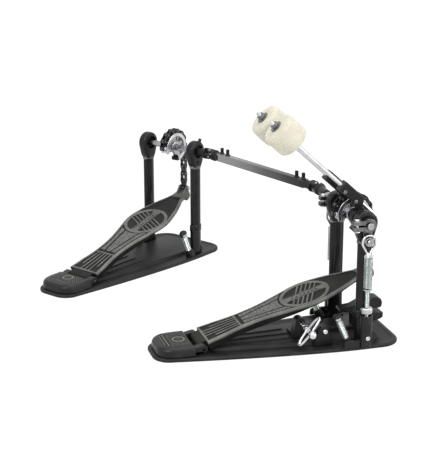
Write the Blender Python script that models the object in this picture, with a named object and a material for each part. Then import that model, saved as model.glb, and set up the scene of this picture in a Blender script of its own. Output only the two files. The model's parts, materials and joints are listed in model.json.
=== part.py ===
"""Double bass drum pedal: a main pedal with two beaters, a slave pedal and the drive shaft between them.

The main pedal points along +Y (heel to toe), +X is its right side and +Z is up. The origin is on the
floor, straight below the middle of the main pedal's axle. Sizes are in millimetres and are turned
into metres where a mesh is made.
"""
import math

import bmesh
import bpy
from mathutils import Matrix, Vector

MM = 0.001
GAP = 0.35
BORE_STEP = 21.0
SMOOTH_ANGLE = 40.0

# Pedal frame
AXLE_Z = 190.0
POST_X = 54.0
POST_Y = 0.5
POST_TOP = 160.0
POST_HALF_Y = 10.9
POST_HALF_X = 7.4
CAP_RADIUS = 17.8
CAP_HALF_X = 8.0
BEARING_RADIUS = 11.0
AXLE_RADIUS = 5.0

# Base plate
HEEL_Y = -307.0
TOE_Y = 61.0
BASE_HALF = 72.0
HEEL_HALF = 39.0
HEEL_CORNER = 27.0
TOE_CORNER = 31.0
BASE_WIDEST_Y = -10.0
BASE_CURVE = 1.47
FLANGE_TOP = 5.0
PANEL_TOP = 9.0
PANEL_INSET = 27.0
PANEL_HEEL_Y = -220.0
PANEL_TOE_Y = 36.0

# Heel block and footboard
HEEL_BLOCK_TOP = 19.0
HEEL_BLOCK_FRONT = -248.0
HINGE_Y = -235.0
HINGE_Z = 12.5
HINGE_PIN_RADIUS = 2.5
KNUCKLE_RADIUS = 6.3
KNUCKLE_HALF = 21.3
HINGE_HALF = 33.0
SLOPE = math.radians(16.7)
BOARD_TOP = 7.7
BOARD_EDGE = 5.0
BOARD_ROOF = 4.0
BOARD_WALL = 3.2
BOARD_SHOULDER = (4.0, 2.6)
BOARD_START = 9.0
BOARD_END = 272.0
# Distance from the hinge, then the half width, the side wall's half width or its foot there
BOARD_WIDTHS = ((0, 32), (30, 28.5), (68, 24), (105, 26), (141, 34), (163, 40), (178, 41.5), (192, 40),
                (208, 36), (222, 31.5), (238, 25), (253, 18), (266, 13.5), (300, 10))
WALL_WIDTHS = ((0, 31), (30, 27.9), (68, 23.4), (105, 25.2), (148, 28), (184, 29), (224, 24), (250, 15),
               (272, 11.5), (300, 9.4))
WALL_FEET = ((0, -4.7), (100, -4.6), (148, -5.0), (184, -3.5), (224, -1.5), (272, 0.3), (300, 0.5))

# Cam and chain
CHAIN_RADIUS = 28.5
CHAIN_X = 4.5
CHAIN_PITCH = 12.7
CHAIN_HALF_WIDTH = 5.0
CHAIN_HALF_PIN = 4.2
CHAIN_HALF_MID = 3.1
CAM_RIM = 23.9
CAM_HUB = 11.5
CAM_X = (-2.0, 12.5)
CAM_SWEEP = (-75.0, 200.0)
CHAIN_PIVOT_ANGLE = math.radians(23.7)
CHAIN_BACK_ANGLE = math.radians(195.0)
CHAIN_END_HALF = 5.4
HOOK_PIN_RADIUS = 2.0
HOOK_PLAY = 1.8
HOOK_Z = 109.0

# Beaters
BEATER_X = 29.0
ROD_LEAN = math.radians(47.4)
ROD_OFFSET = 18.9
ROD_RADIUS = 3.0
ROD_LOW = -22.0
ROD_HIGH = 203.0
FELT_LOW = 153.5
FELT_LENGTH = 38.0
FELT_RADIUS = 25.0
FELT_EDGE = 6.0
HUB_CLAMP = (16.0, 56.0)
HUB_CLAMP_HALF = 8.0
HUB_COLLAR = 13.5

# Return springs
SPRING_X = 71.0
ROCKER_DROP = 24.0
ROLLER_RADIUS = 6.6
LOOP_WIRE = 1.6
LOOP_RADIUS = 9.4
LOOP_TAIL = 20.5
LOOP_PLAY = 2.4
SPRING_FOOT_Z = 55.5
COIL_BOTTOM = 95.0
COIL_TOP = 143.0
COIL_OUTER = 13.0
COIL_WIRE = 1.8
COIL_CURLS = 18
CURL_POINTS = 8
PLUG_HEIGHT = 2.5
TENSION_ROD_RADIUS = 3.0
NUT_RADIUS = 8.6
BRACKET_RADIUS = 9.0
BRACKET_RAIL_REAR = -34.0
BRACKET_RAIL_HEIGHT = 11.0

# Slave pedal and drive shaft
SLAVE_X = -460.0
SLAVE_Y = -152.0
SLAVE_YAW = math.radians(34.8)
MAIN_JOINT_X = -138.0
SLAVE_JOINT_X = 90.0
YOKE_BARREL = 7.0
YOKE_DISC = 9.6
YOKE_EAR = (6.0, 9.0)
YOKE_EAR_HALF = 4.2
CROSS_PIN = 2.2
BAR_HALF_Y = 6.2
BAR_HALF_Z = 6.6
MID_TURN = math.radians(23.7)

# Hoop clamp and spurs
CLAMP_PIVOT = (20.0, 41.0)
JAW_GAP = (31.5, 37.5)
JAW_FRONT = 52.0
JAW_HALF = 9.6
SCREW_Y = -84.0
SCREW_Z = 33.5
WING_LEAN = math.radians(52.0)
WING_HALF = 26.5
WING_X = (51.0, 68.5)
WING_BAND = 4.2
SIDE_BLOCK_X = (39.0, 50.2)
PILLAR_X = (8.0, 23.0)
SPUR_X = 60.0
SPUR_HEAD = (-39.0, 47.0)
SPUR_TIP = (-18.5, 0.8)
SPUR_RADIUS = 4.8

PALETTE = {
    "black_casting": ((0.020, 0.021, 0.022), 0.45, 0.3),
    "base_black": ((0.024, 0.024, 0.025), 0.55, 0.0),
    "board_grey": ((0.060, 0.060, 0.057), 0.5, 0.4),
    "cast_silver": ((0.62, 0.62, 0.60), 0.35, 1.0),
    "chrome": ((0.80, 0.80, 0.82), 0.12, 1.0),
    "zinc": ((0.55, 0.60, 0.57), 0.3, 1.0),
    "steel": ((0.55, 0.55, 0.56), 0.3, 1.0),
    "dark_chain": ((0.09, 0.09, 0.09), 0.4, 0.9),
    "felt": ((0.83, 0.80, 0.71), 0.95, 0.0),
}


def clear_scene():
    for old in list(bpy.data.objects):
        bpy.data.objects.remove(old, do_unlink=True)


def make_materials():
    made = {}
    for name, (colour, roughness, metallic) in PALETTE.items():
        material = bpy.data.materials.new(name)
        material.use_nodes = True
        shader = material.node_tree.nodes["Principled BSDF"]
        shader.inputs["Base Color"].default_value = (*colour, 1.0)
        shader.inputs["Roughness"].default_value = roughness
        shader.inputs["Metallic"].default_value = metallic
        made[name] = material
    return made


# Shapes, each a pair of points and faces in millimetres

def loft(rings, closed=False):
    """Rings of equal length joined into a skin, with a cap on each end unless the rings close."""
    count = len(rings[0])
    points = [tuple(p) for ring in rings for p in ring]
    faces = []
    last = len(rings) if closed else len(rings) - 1
    for row in range(last):
        low = row * count
        high = ((row + 1) % len(rings)) * count
        for k in range(count):
            n = (k + 1) % count
            faces.append((low + k, low + n, high + n, high + k))
    if not closed:
        faces.append(tuple(range(count))[::-1])
        top = (len(rings) - 1) * count
        faces.append(tuple(range(top, top + count)))
    return points, faces


def circle(radius, sides, centre=(0.0, 0.0)):
    step = 2 * math.pi / sides
    return [(centre[0] + radius * math.cos(k * step), centre[1] + radius * math.sin(k * step))
            for k in range(sides)]


def arc(centre, radius, start, end, steps):
    """Points on an arc, with the angles in degrees."""
    angles = [math.radians(start + (end - start) * k / steps) for k in range(steps + 1)]
    return [(centre[0] + radius * math.cos(a), centre[1] + radius * math.sin(a)) for a in angles]


def hull(points):
    """Convex outline round a set of plane points, counter-clockwise."""
    points = sorted(set(points))

    def half(run):
        line = []
        for p in run:
            while len(line) > 1:
                (ax, ay), (bx, by) = line[-2], line[-1]
                if (bx - ax) * (p[1] - ay) - (by - ay) * (p[0] - ax) > 0:
                    break
                line.pop()
            line.append(p)
        return line[:-1]

    return half(points) + half(points[::-1])


def slab_x(outline, x0, x1, chamfer=0.0):
    """A (y, z) outline extruded along X, with its end edges drawn in by the chamfer."""
    cy = sum(p[0] for p in outline) / len(outline)
    cz = sum(p[1] for p in outline) / len(outline)
    reach = max(math.hypot(p[0] - cy, p[1] - cz) for p in outline)
    shrink = 1 - chamfer / reach
    small = [(cy + (p[0] - cy) * shrink, cz + (p[1] - cz) * shrink) for p in outline]
    if not chamfer:
        return loft([[(x, *p) for p in outline] for x in (x0, x1)])
    levels = ((x0, small), (x0 + chamfer, outline), (x1 - chamfer, outline), (x1, small))
    return loft([[(x, *p) for p in ring] for x, ring in levels])


def divided(outline, widest):
    """The outline with its long edges cut so that none spans more than the widest angle about (0, 0)."""
    made = []
    for (y0, z0), (y1, z1) in zip(outline, outline[1:] + outline[:1]):
        spread = abs(math.atan2(y0 * z1 - z0 * y1, y0 * y1 + z0 * z1))
        cuts = max(1, math.ceil(spread / widest))
        made += [(y0 + (y1 - y0) * k / cuts, z0 + (z1 - z0) * k / cuts) for k in range(cuts)]
    return made


def pierced_slab_x(outline, bore, x0, x1, chamfer=0.0):
    """As slab_x, with a round bore along X through the point (0, 0)."""
    outline = divided(outline, math.radians(BORE_STEP))
    inner = [(p[0] * bore / math.hypot(*p), p[1] * bore / math.hypot(*p)) for p in outline]
    drawn = [(p[0] * (1 - chamfer / math.hypot(*p)), p[1] * (1 - chamfer / math.hypot(*p)))
             for p in outline]
    levels = [(x0, inner), (x0, drawn), (x0 + chamfer, outline), (x1 - chamfer, outline),
              (x1, drawn), (x1, inner)]
    if not chamfer:
        levels = [(x0, inner), (x0, outline), (x1, outline), (x1, inner)]
    return loft([[(x, *p) for p in ring] for x, ring in levels], closed=True)


def frame_along(start, end):
    """Axis, and two directions across it, for a turned piece between two points."""
    axis = (Vector(end) - Vector(start)).normalized()
    across = axis.orthogonal().normalized()
    if abs(axis.x) > 0.99:
        across = Vector((0, 1, 0))
    return axis, across, axis.cross(across)


def turned(start, end, profile, sides=20, closed=False):
    """A (radius, distance) profile turned about the line from start to end."""
    axis, across, other = frame_along(start, end)
    rings = []
    for radius, along in profile:
        centre = Vector(start) + axis * along
        rings.append([centre + across * y + other * z for y, z in circle(radius, sides)])
    return loft(rings, closed)


def rod(start, end, radius, sides=16):
    length = (Vector(end) - Vector(start)).length
    return turned(start, end, ((radius, 0), (radius, length)), sides)


def block(low, high):
    xs, ys, zs = zip(low, high)
    base = [(xs[0], ys[0]), (xs[1], ys[0]), (xs[1], ys[1]), (xs[0], ys[1])]
    return loft([[(*p, z) for p in base] for z in zs])


def swept_wire(path, radius, sides, closed=False):
    """A round wire that follows points in a plane X = constant."""
    count = len(path)
    rings = []
    for k, p in enumerate(path):
        ahead = path[(k + 1) % count] if closed or k + 1 < count else p
        behind = path[k - 1] if closed or k else p
        along = (Vector(ahead) - Vector(behind)).normalized()
        across = Vector((1, 0, 0))
        other = along.cross(across).normalized()
        rings.append([Vector(p) + across * y + other * z for y, z in circle(radius, sides)])
    return loft(rings, closed)


def moved(shape, matrix):
    points, faces = shape
    return [tuple(matrix @ Vector(p)) for p in points], faces


def mirrored_x(shape):
    points, faces = shape
    return [(-p[0], p[1], p[2]) for p in points], [f[::-1] for f in faces]


# Objects

def raw_object(name, shape):
    points, faces = shape
    mesh = bpy.data.meshes.new(name)
    mesh.from_pydata([tuple(c * MM for c in p) for p in points], [], faces)
    work = bmesh.new()
    work.from_mesh(mesh)
    bmesh.ops.recalc_face_normals(work, faces=work.faces)
    work.to_mesh(mesh)
    work.free()
    made = bpy.data.objects.new(name, mesh)
    bpy.context.collection.objects.link(made)
    return made


def apply_boolean(target, shape, operation):
    tool = raw_object("tool", shape)
    modifier = target.modifiers.new("boolean", "BOOLEAN")
    modifier.operation = operation
    modifier.solver = "EXACT"
    modifier.object = tool
    view = bpy.context.evaluated_depsgraph_get()
    result = bpy.data.meshes.new_from_object(target.evaluated_get(view))
    target.modifiers.clear()
    target.data = result
    bpy.data.objects.remove(tool, do_unlink=True)


def piece(name, parent, finish, shapes, cuts=()):
    """One named solid: the shapes joined, the cuts taken out, under its parent's frame."""
    made = raw_object(name, shapes[0])
    for shape in shapes[1:]:
        apply_boolean(made, shape, "UNION")
    for shape in cuts:
        apply_boolean(made, shape, "DIFFERENCE")
    made.data.name = name
    made.data.materials.clear()
    made.data.materials.append(FINISHES[finish])
    made.data.shade_smooth()
    made.data.set_sharp_from_angle(angle=math.radians(SMOOTH_ANGLE))
    made.parent = parent
    return made


def joint_frame(name, parent, place=(0, 0, 0), turn=None):
    """An empty on a joint's axis, placed in millimetres in its parent's frame."""
    made = bpy.data.objects.new(name, None)
    bpy.context.collection.objects.link(made)
    made.parent = parent
    made.matrix_local = Matrix.Translation(Vector(place) * MM) @ (turn or Matrix.Identity(4))
    return made


# Pieces that both pedals have

def base_outline(inset, rear, front):
    """Plan outline of the base drawn in by the inset, between the rear and front ends."""
    def half_width(y):
        run = max(0.0, (BASE_WIDEST_Y - y) / (BASE_WIDEST_Y - HEEL_Y - HEEL_CORNER))
        return BASE_HALF - (BASE_HALF - HEEL_HALF) * run ** BASE_CURVE - inset

    heel_corner = min(max(HEEL_CORNER - inset, 6.0), half_width(rear + HEEL_CORNER) - 4.0)
    toe_corner = max(TOE_CORNER - inset, 8.0)
    rear_half = half_width(rear + heel_corner)
    front_half = half_width(front - toe_corner)
    right = arc((rear_half - heel_corner, rear + heel_corner), heel_corner, -90, 0, 4)
    span = front - toe_corner - rear - heel_corner
    for k in range(1, 6):
        y = rear + heel_corner + span * k / 6
        right.append((half_width(y), y))
    right += arc((front_half - toe_corner, front - toe_corner), toe_corner, 0, 90, 4)
    return right + [(-x, y) for x, y in reversed(right)]


def base_shape():
    rings = ((0.0, base_outline(0.0, HEEL_Y, TOE_Y)),
             (FLANGE_TOP - 1.5, base_outline(0.0, HEEL_Y, TOE_Y)),
             (FLANGE_TOP, base_outline(2.5, HEEL_Y + 2.5, TOE_Y - 2.5)),
             (FLANGE_TOP, base_outline(PANEL_INSET, PANEL_HEEL_Y, PANEL_TOE_Y)),
             (PANEL_TOP, base_outline(PANEL_INSET + 3, PANEL_HEEL_Y + 4, PANEL_TOE_Y - 4)))
    return loft([[(x, y, z) for x, y in ring] for z, ring in rings])


def spur_line(side):
    return ((side * SPUR_X, *SPUR_HEAD), (side * SPUR_X, *SPUR_TIP))


def spur_point(side, along):
    head, tip = (Vector(p) for p in spur_line(side))
    return head + (tip - head).normalized() * along


def spur_length():
    head, tip = (Vector(p) for p in spur_line(1))
    return (tip - head).length


def base_piece(prefix, frame, extra=()):
    """The base plate, with a threaded boss for each spur."""
    bosses = []
    bores = []
    full = spur_length()
    for side in (1, -1):
        bosses.append(turned(spur_point(side, full - 19), spur_point(side, full - 6),
                             ((6.8, 0), (6.9, 13)), 10))
        bores.append(rod(spur_point(side, full - 40), spur_point(side, full + 15), SPUR_RADIUS + GAP, 10))
    piece(prefix + "_base", frame, "base_black", [base_shape(), *bosses, *extra], bores)


def spur_piece(prefix, frame, side):
    """Threaded spur with a square-shouldered head and a pointed tip."""
    name = f"{prefix}_spur_{'right' if side > 0 else 'left'}"
    full = spur_length()
    profile = ((5.0, -8), (6.4, -6.5), (6.4, -1), (SPUR_RADIUS, 0), (SPUR_RADIUS, full - 8), (1.2, full))
    slide = joint_frame(name + "_slide", frame, spur_point(side, 0))
    head, tip = spur_line(side)
    shift = Matrix.Translation(-Vector(head))
    piece(name, slide, "zinc", [moved(turned(head, tip, profile, 10), shift)])


def heel_piece(prefix, frame):
    """Heel block with two hinge ears, bored for the hinge pin."""
    low = FLANGE_TOP + GAP
    rear = HEEL_Y + 5.5
    outlines = ((low, 2.5, 0.0), (HEEL_BLOCK_TOP - 4, 3.5, 0.8), (HEEL_BLOCK_TOP, 7.0, 4.0))
    rings = []
    for z, inset, draw in outlines:
        half = HEEL_HALF - inset
        corner = HEEL_CORNER - inset
        right = arc((half - corner, rear + draw + corner), corner, -90, 0, 5)
        right.append((half + 1.5, HEEL_BLOCK_FRONT))
        rings.append([(x, y, z) for x, y in right + [(-x, y) for x, y in reversed(right)]])
    shapes = [loft(rings)]
    root = HEEL_BLOCK_FRONT - HINGE_Y - 2
    outline = hull(circle(KNUCKLE_RADIUS, 12) + [(root, low - HINGE_Z), (root, 5.0), (0.0, low - HINGE_Z)])
    for side in (1, -1):
        ends = sorted((side * (KNUCKLE_HALF + GAP), side * HINGE_HALF))
        ear = moved(slab_x(outline, *ends), Matrix.Translation((0, HINGE_Y, HINGE_Z)))
        shapes.append(ear)
    bore = rod((-60, HINGE_Y, HINGE_Z), (60, HINGE_Y, HINGE_Z), HINGE_PIN_RADIUS + GAP, 12)
    piece(prefix + "_heel_block", frame, "black_casting", shapes, [bore])


def oval(half_x, half_y, sides=12):
    step = 2 * math.pi / sides
    return [(half_x * math.cos(k * step), half_y * math.sin(k * step)) for k in range(sides)]


def post_piece(prefix, frame, side):
    """Oval post in its cast socket, with the height collar above the socket."""
    name = f"{prefix}_post_{'right' if side > 0 else 'left'}"
    low = FLANGE_TOP + GAP
    levels = ((low, 7.8, 14.4), (low + 4, 7.8, 14.4), (low + 7, 7.6, 12.0), (46, 7.5, 11.6),
              (47, 7.7, 12.8), (56, 7.7, 12.8), (57, POST_HALF_X, POST_HALF_Y),
              (POST_TOP, POST_HALF_X, POST_HALF_Y))
    rings = [[(side * POST_X + x, POST_Y + y, z) for x, y in oval(hx, hy)] for z, hx, hy in levels]
    piece(name, frame, "black_casting", [loft(rings)])


def cap_piece(prefix, frame, side):
    """Egg-shaped bearing housing on top of a post, and the ball bearing inside it."""
    word = "right" if side > 0 else "left"
    foot = POST_TOP + GAP - AXLE_Z
    skirt = [(11.5, foot + 1.5), (-11.5, foot + 1.5), (10, foot), (-10, foot)]
    outline = hull(circle(CAP_RADIUS, 18) + skirt)
    middle = Matrix.Translation((side * POST_X, 0, AXLE_Z))
    shell = pierced_slab_x(outline, BEARING_RADIUS + GAP, -CAP_HALF_X, CAP_HALF_X, 2.0)
    piece(f"{prefix}_cap_{word}", frame, "black_casting", [moved(shell, middle)])
    ring = pierced_slab_x(circle(BEARING_RADIUS, 18), AXLE_RADIUS + GAP, -3.5, 3.5)
    piece(f"{prefix}_bearing_{word}", frame, "steel", [moved(ring, middle)])


def curve_at(knots, s):
    """Smooth curve through (place, value) knots."""
    k = max(i for i in range(len(knots) - 1) if knots[i][0] <= s)

    def slope(i):
        a, b = knots[max(i - 1, 0)], knots[min(i + 1, len(knots) - 1)]
        return (b[1] - a[1]) / (b[0] - a[0])

    (s0, v0), (s1, v1) = knots[k], knots[k + 1]
    t = (s - s0) / (s1 - s0)
    rise = s1 - s0
    return ((2 * t ** 3 - 3 * t ** 2 + 1) * v0 + (t ** 3 - 2 * t ** 2 + t) * rise * slope(k)
            + (3 * t ** 2 - 2 * t ** 3) * v1 + (t ** 3 - t ** 2) * rise * slope(k + 1))


def board_shape():
    """A plate with rounded shoulders that stands out over two side walls, open below."""
    rings = []
    steps = 15
    across, down = BOARD_SHOULDER
    for k in range(steps + 1):
        s = BOARD_START + (BOARD_END - BOARD_START) * k / steps
        half = curve_at(BOARD_WIDTHS, s)
        wall = curve_at(WALL_WIDTHS, s)
        foot = curve_at(WALL_FEET, s)
        right = [(half - across, BOARD_TOP), (half, BOARD_TOP - down), (half, BOARD_TOP - BOARD_EDGE),
                 (wall, BOARD_TOP - BOARD_EDGE), (wall, foot), (wall - BOARD_WALL, foot),
                 (wall - BOARD_WALL, BOARD_TOP - BOARD_ROOF)]
        rings.append([(x, s, n) for x, n in right + [(-x, n) for x, n in reversed(right)]])
    return loft(rings)


def hook_pin():
    """Place of the chain hook's pin from the footboard's hinge: along the board and above it."""
    return Matrix.Rotation(-SLOPE, 2) @ Vector((CHAIN_RADIUS - HINGE_Y, HOOK_Z - HINGE_Z))


def footboard_pieces(prefix, frame):
    """Footboard with its hinge knuckle, the hinge pin and the chain hook at the toe."""
    hinge = joint_frame(prefix + "_footboard_hinge", frame, (0, HINGE_Y, HINGE_Z),
                        Matrix.Rotation(SLOPE, 4, "X"))
    web = hull(circle(KNUCKLE_RADIUS, 12) + [(BOARD_START + 6, BOARD_TOP - 1), (BOARD_START + 6, -3.0),
                                             (BOARD_START + 1, BOARD_TOP - 1)])
    knuckle = pierced_slab_x(web, HINGE_PIN_RADIUS + GAP, -KNUCKLE_HALF, KNUCKLE_HALF)
    piece(prefix + "_footboard", hinge, "board_grey", [board_shape(), knuckle])
    piece(prefix + "_hinge_pin", hinge, "steel",
          [rod((-HINGE_HALF, 0, 0), (HINGE_HALF, 0, 0), HINGE_PIN_RADIUS, 12)])
    piece(prefix + "_chain_hook", hinge, "board_grey", hook_shapes())


def hook_shapes():
    """Toe block: a fork with a cross pin for the chain, and the chin that closes the board's end."""
    pin = hook_pin()
    foot = BOARD_TOP + GAP
    front = pin[0] + 3
    outline = hull(circle(5.0, 12, pin) + [(BOARD_END - 10, foot), (front, foot)])
    ear = CHAIN_HALF_WIDTH + 0.7
    sill = block((-9.5, BOARD_END - 12, foot), (CHAIN_X + ear + 3, front, foot + 2.0))
    sides = [slab_x(outline, *sorted((CHAIN_X + side * ear, CHAIN_X + side * (ear + 3))))
             for side in (1, -1)]
    through = rod((CHAIN_X - ear - 4, *pin), (CHAIN_X + ear + 4, *pin), HOOK_PIN_RADIUS, 10)
    low = curve_at(WALL_FEET, BOARD_END) - 5
    rear = BOARD_END + GAP
    chin = slab_x([(rear, foot + 1), (front - 0.1, foot + 1), (front - 0.1, foot - 8), (front - 4, low + 3),
                   (rear, low)], -9.4, CHAIN_X + ear + 2.9)
    return [sill, *sides, through, chin]


def cam_piece(prefix, axle):
    """Cast cam: a hub with a broad rim sector that the chain lies on, and windows between its spokes."""
    start, end = CAM_SWEEP
    outline = arc((0, 0), CAM_RIM, start, end, 15) + arc((0, 0), CAM_HUB, end + 10, start + 350, 4)
    disc = pierced_slab_x(outline, AXLE_RADIUS + GAP, *CAM_X)
    boss = pierced_slab_x(circle(CAM_HUB, 18), AXLE_RADIUS + GAP, CAM_X[0] - 8, CAM_X[0] + 1.5)
    windows = []
    for middle in (-18, 62, 142):
        outer = arc((0, 0), CAM_RIM - 3.5, middle - 29, middle + 29, 3)
        inner = arc((0, 0), CAM_HUB + 1.5, middle + 20, middle - 20, 2)
        windows.append(slab_x(outer + inner, CAM_X[0] - 3, CAM_X[1] + 3))
    piece(prefix + "_cam", axle, "cast_silver", [disc, boss], windows)


def chain_body(stations):
    """Chain as one scalloped band: centre point, outward direction and half height at each station."""
    rings = []
    for (y, z), (ny, nz), half in stations:
        top = (y + ny * half, z + nz * half)
        low = (y - ny * half, z - nz * half)
        near, far = CHAIN_X - CHAIN_HALF_WIDTH, CHAIN_X + CHAIN_HALF_WIDTH
        rings.append([(near, *low), (far, *low), (far, *top), (near, *top)])
    return loft(rings)


def scallop(pitches):
    middle = (CHAIN_HALF_PIN + CHAIN_HALF_MID) / 2
    swing = (CHAIN_HALF_PIN - CHAIN_HALF_MID) / 2
    return middle + swing * math.cos(2 * math.pi * pitches)


def chain_wrap_piece(prefix, axle):
    """Chain that lies round the cam, from its anchor at the back to the last pin before the drop."""
    front = CHAIN_PIVOT_ANGLE + (CHAIN_HALF_PIN + 0.5) / CHAIN_RADIUS
    steps = 20
    stations = []
    for k in range(steps + 1):
        angle = front + (CHAIN_BACK_ANGLE - front) * k / steps
        ray = (math.cos(angle), math.sin(angle))
        pitches = (angle - CHAIN_PIVOT_ANGLE) * CHAIN_RADIUS / CHAIN_PITCH
        stations.append(((ray[0] * CHAIN_RADIUS, ray[1] * CHAIN_RADIUS), ray, scallop(pitches)))
    piece(prefix + "_chain_wrap", axle, "dark_chain", [chain_body(stations)])


def chain_drop_piece(prefix, axle):
    """Chain from the cam down to the footboard, turning on the last pin on the cam."""
    pivot = (CHAIN_RADIUS * math.cos(CHAIN_PIVOT_ANGLE), CHAIN_RADIUS * math.sin(CHAIN_PIVOT_ANGLE))
    swing = joint_frame(prefix + "_chain_swing", axle, (0, *pivot))
    curve = CHAIN_PIVOT_ANGLE * CHAIN_RADIUS
    full = curve + AXLE_Z - HOOK_Z
    steps = 18

    def station(run, half):
        angle = CHAIN_PIVOT_ANGLE - min(run, curve) / CHAIN_RADIUS
        ray = (math.cos(angle), math.sin(angle))
        below = max(run - curve, 0.0)
        return (ray[0] * CHAIN_RADIUS - pivot[0], ray[1] * CHAIN_RADIUS - below - pivot[1]), ray, half

    rounding = (0.15, 0.6, 0.85)
    stations = [station(-CHAIN_HALF_PIN * math.cos(math.asin(r)), CHAIN_HALF_PIN * r) for r in rounding]
    last = full - CHAIN_END_HALF - 2
    runs = [last * k / steps for k in range(steps + 1)]
    stations += [station(run, scallop(run / CHAIN_PITCH)) for run in runs]
    stations.append(station(full - CHAIN_END_HALF * 0.7, CHAIN_END_HALF * 0.85))
    stations.append(station(full, CHAIN_END_HALF))
    stations += [station(full + CHAIN_END_HALF * math.cos(math.asin(r)), CHAIN_END_HALF * r)
                 for r in reversed(rounding)]
    low = station(full, 0)[0]
    eye = rod((-20, *low), (30, *low), HOOK_PIN_RADIUS + HOOK_PLAY, 12)
    piece(prefix + "_chain_drop", swing, "dark_chain", [chain_body(stations)], [eye])


def pedal_pieces(prefix, frame, extra_base=()):
    base_piece(prefix, frame, extra_base)
    heel_piece(prefix, frame)
    for side in (1, -1):
        spur_piece(prefix, frame, side)
        post_piece(prefix, frame, side)
        cap_piece(prefix, frame, side)
    footboard_pieces(prefix, frame)


# Beaters

def rod_point(along):
    """Point (y, z) on the beater rod's axis, from the axle, at a distance up the rod."""
    up = (-math.sin(ROD_LEAN), math.cos(ROD_LEAN))
    out = (math.cos(ROD_LEAN), math.sin(ROD_LEAN))
    return out[0] * ROD_OFFSET + up[0] * along, out[1] * ROD_OFFSET + up[1] * along


def beater_pieces(word, axle, side, hub_x):
    """Hub on the axle, chrome rod with its shoulder and nut, and the felt head."""
    x = side * BEATER_X
    out = (math.cos(ROD_LEAN) * HUB_CLAMP_HALF, math.sin(ROD_LEAN) * HUB_CLAMP_HALF)
    corners = []
    for along in HUB_CLAMP:
        y, z = rod_point(along)
        corners += [(y + out[0], z + out[1]), (y - out[0], z - out[1])]
    outline = hull(circle(HUB_COLLAR, 16) + corners)
    collar = slab_x(outline, *hub_x, 1.2)
    low, high = (x, *rod_point(ROD_LOW)), (x, *rod_point(ROD_HIGH))
    cuts = [rod((hub_x[0] - 5, 0, 0), (hub_x[1] + 5, 0, 0), AXLE_RADIUS + GAP, 14),
            rod((x, *rod_point(-40)), (x, *rod_point(90)), ROD_RADIUS + GAP, 10)]
    piece(word + "_hub", axle, "black_casting", [collar], cuts)
    seat = FELT_LOW - GAP - ROD_LOW
    top = FELT_LOW + FELT_LENGTH + GAP - ROD_LOW
    full = ROD_HIGH - ROD_LOW
    profile = ((ROD_RADIUS, 0), (ROD_RADIUS, seat - 3), (7.0, seat - 2.5), (7.0, seat),
               (ROD_RADIUS, seat + 0.01), (ROD_RADIUS, top - 0.01), (9.0, top), (9.0, top + 1.2),
               (5.6, top + 1.4), (5.6, full - 2), (ROD_RADIUS, full - 1.8), (ROD_RADIUS, full))
    piece(word + "_beater_rod", axle, "chrome", [turned(low, high, profile, 8)])
    start = FELT_LOW - ROD_LOW
    corner = [(FELT_RADIUS - FELT_EDGE + FELT_EDGE * math.sin(a), FELT_EDGE - FELT_EDGE * math.cos(a))
              for a in (0.0, math.pi / 4, math.pi / 2)]
    bore = ROD_RADIUS + GAP
    felt = ([(bore, start)] + [(r, start + t) for r, t in corner]
            + [(r, start + FELT_LENGTH - t) for r, t in reversed(corner)] + [(bore, start + FELT_LENGTH)])
    piece(word + "_felt", axle, "felt", [turned(low, high, felt, 20, closed=True)])


# Return springs

def rocker_piece(word, axle, side):
    """Split collar on the axle end, with a short arm that carries the spring roller."""
    inner = POST_X + CAP_HALF_X + 0.7
    collar = slab_x(circle(10.2, 14), inner, inner + 9.5)
    ears = block((inner + 0.5, -24, -8.5), (inner + 9, -7, 8.5))
    arm = slab_x(hull(circle(8.5, 10) + circle(6.0, 10, (0, -ROCKER_DROP))), inner, inner + 3.4)
    wheel = slab_x(circle(ROLLER_RADIUS, 14, (0, -ROCKER_DROP)), SPRING_X - 2.8, SPRING_X + 2.8)
    pin = rod((inner + 2, 0, -ROCKER_DROP), (SPRING_X + 5.5, 0, -ROCKER_DROP), 3.6, 10)
    slot = block((inner - 5, -40, -1.2), (inner + 20, -8, 1.2))
    bore = rod((inner - 5, 0, 0), (inner + 20, 0, 0), AXLE_RADIUS + GAP, 14)
    shapes = [collar, ears, arm, wheel, pin]
    cuts = [slot, bore]
    if side < 0:
        shapes = [mirrored_x(s) for s in shapes]
        cuts = [mirrored_x(s) for s in cuts]
    piece(word + "_rocker", axle, "black_casting", shapes, cuts)


def coil_piece(word, foot):
    """Return spring: one helix with a short straight tail at each end."""
    radius = (COIL_OUTER - COIL_WIRE) / 2
    low = COIL_BOTTOM + GAP - SPRING_FOOT_Z
    high = COIL_TOP - GAP - SPRING_FOOT_Z
    bottom, top = low + COIL_WIRE, high - COIL_WIRE
    count = COIL_CURLS * CURL_POINTS
    path = [(radius, 0.0, low)]
    for k in range(count + 1):
        angle = 2 * math.pi * k / CURL_POINTS
        height = bottom + (top - bottom) * k / count
        path.append((radius * math.cos(angle), radius * math.sin(angle), height))
    path.append((radius, 0.0, high))
    least = min((Vector(path[i]) - Vector(path[j])).length
                for i in range(len(path)) for j in range(i + CURL_POINTS - 2, len(path))) - COIL_WIRE
    print(f"{word}_spring least gap between curls {least:.2f} mm")
    curve = bpy.data.curves.new(word + "_spring", "CURVE")
    curve.dimensions = "3D"
    curve.bevel_depth = COIL_WIRE / 2 * MM
    curve.bevel_resolution = 1
    curve.use_fill_caps = True
    line = curve.splines.new("POLY")
    line.points.add(len(path) - 1)
    for point, place in zip(line.points, path):
        point.co = (*(c * MM for c in place), 1.0)
    curve.materials.append(FINISHES["zinc"])
    made = bpy.data.objects.new(word + "_spring", curve)
    bpy.context.collection.objects.link(made)
    made.parent = foot


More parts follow.
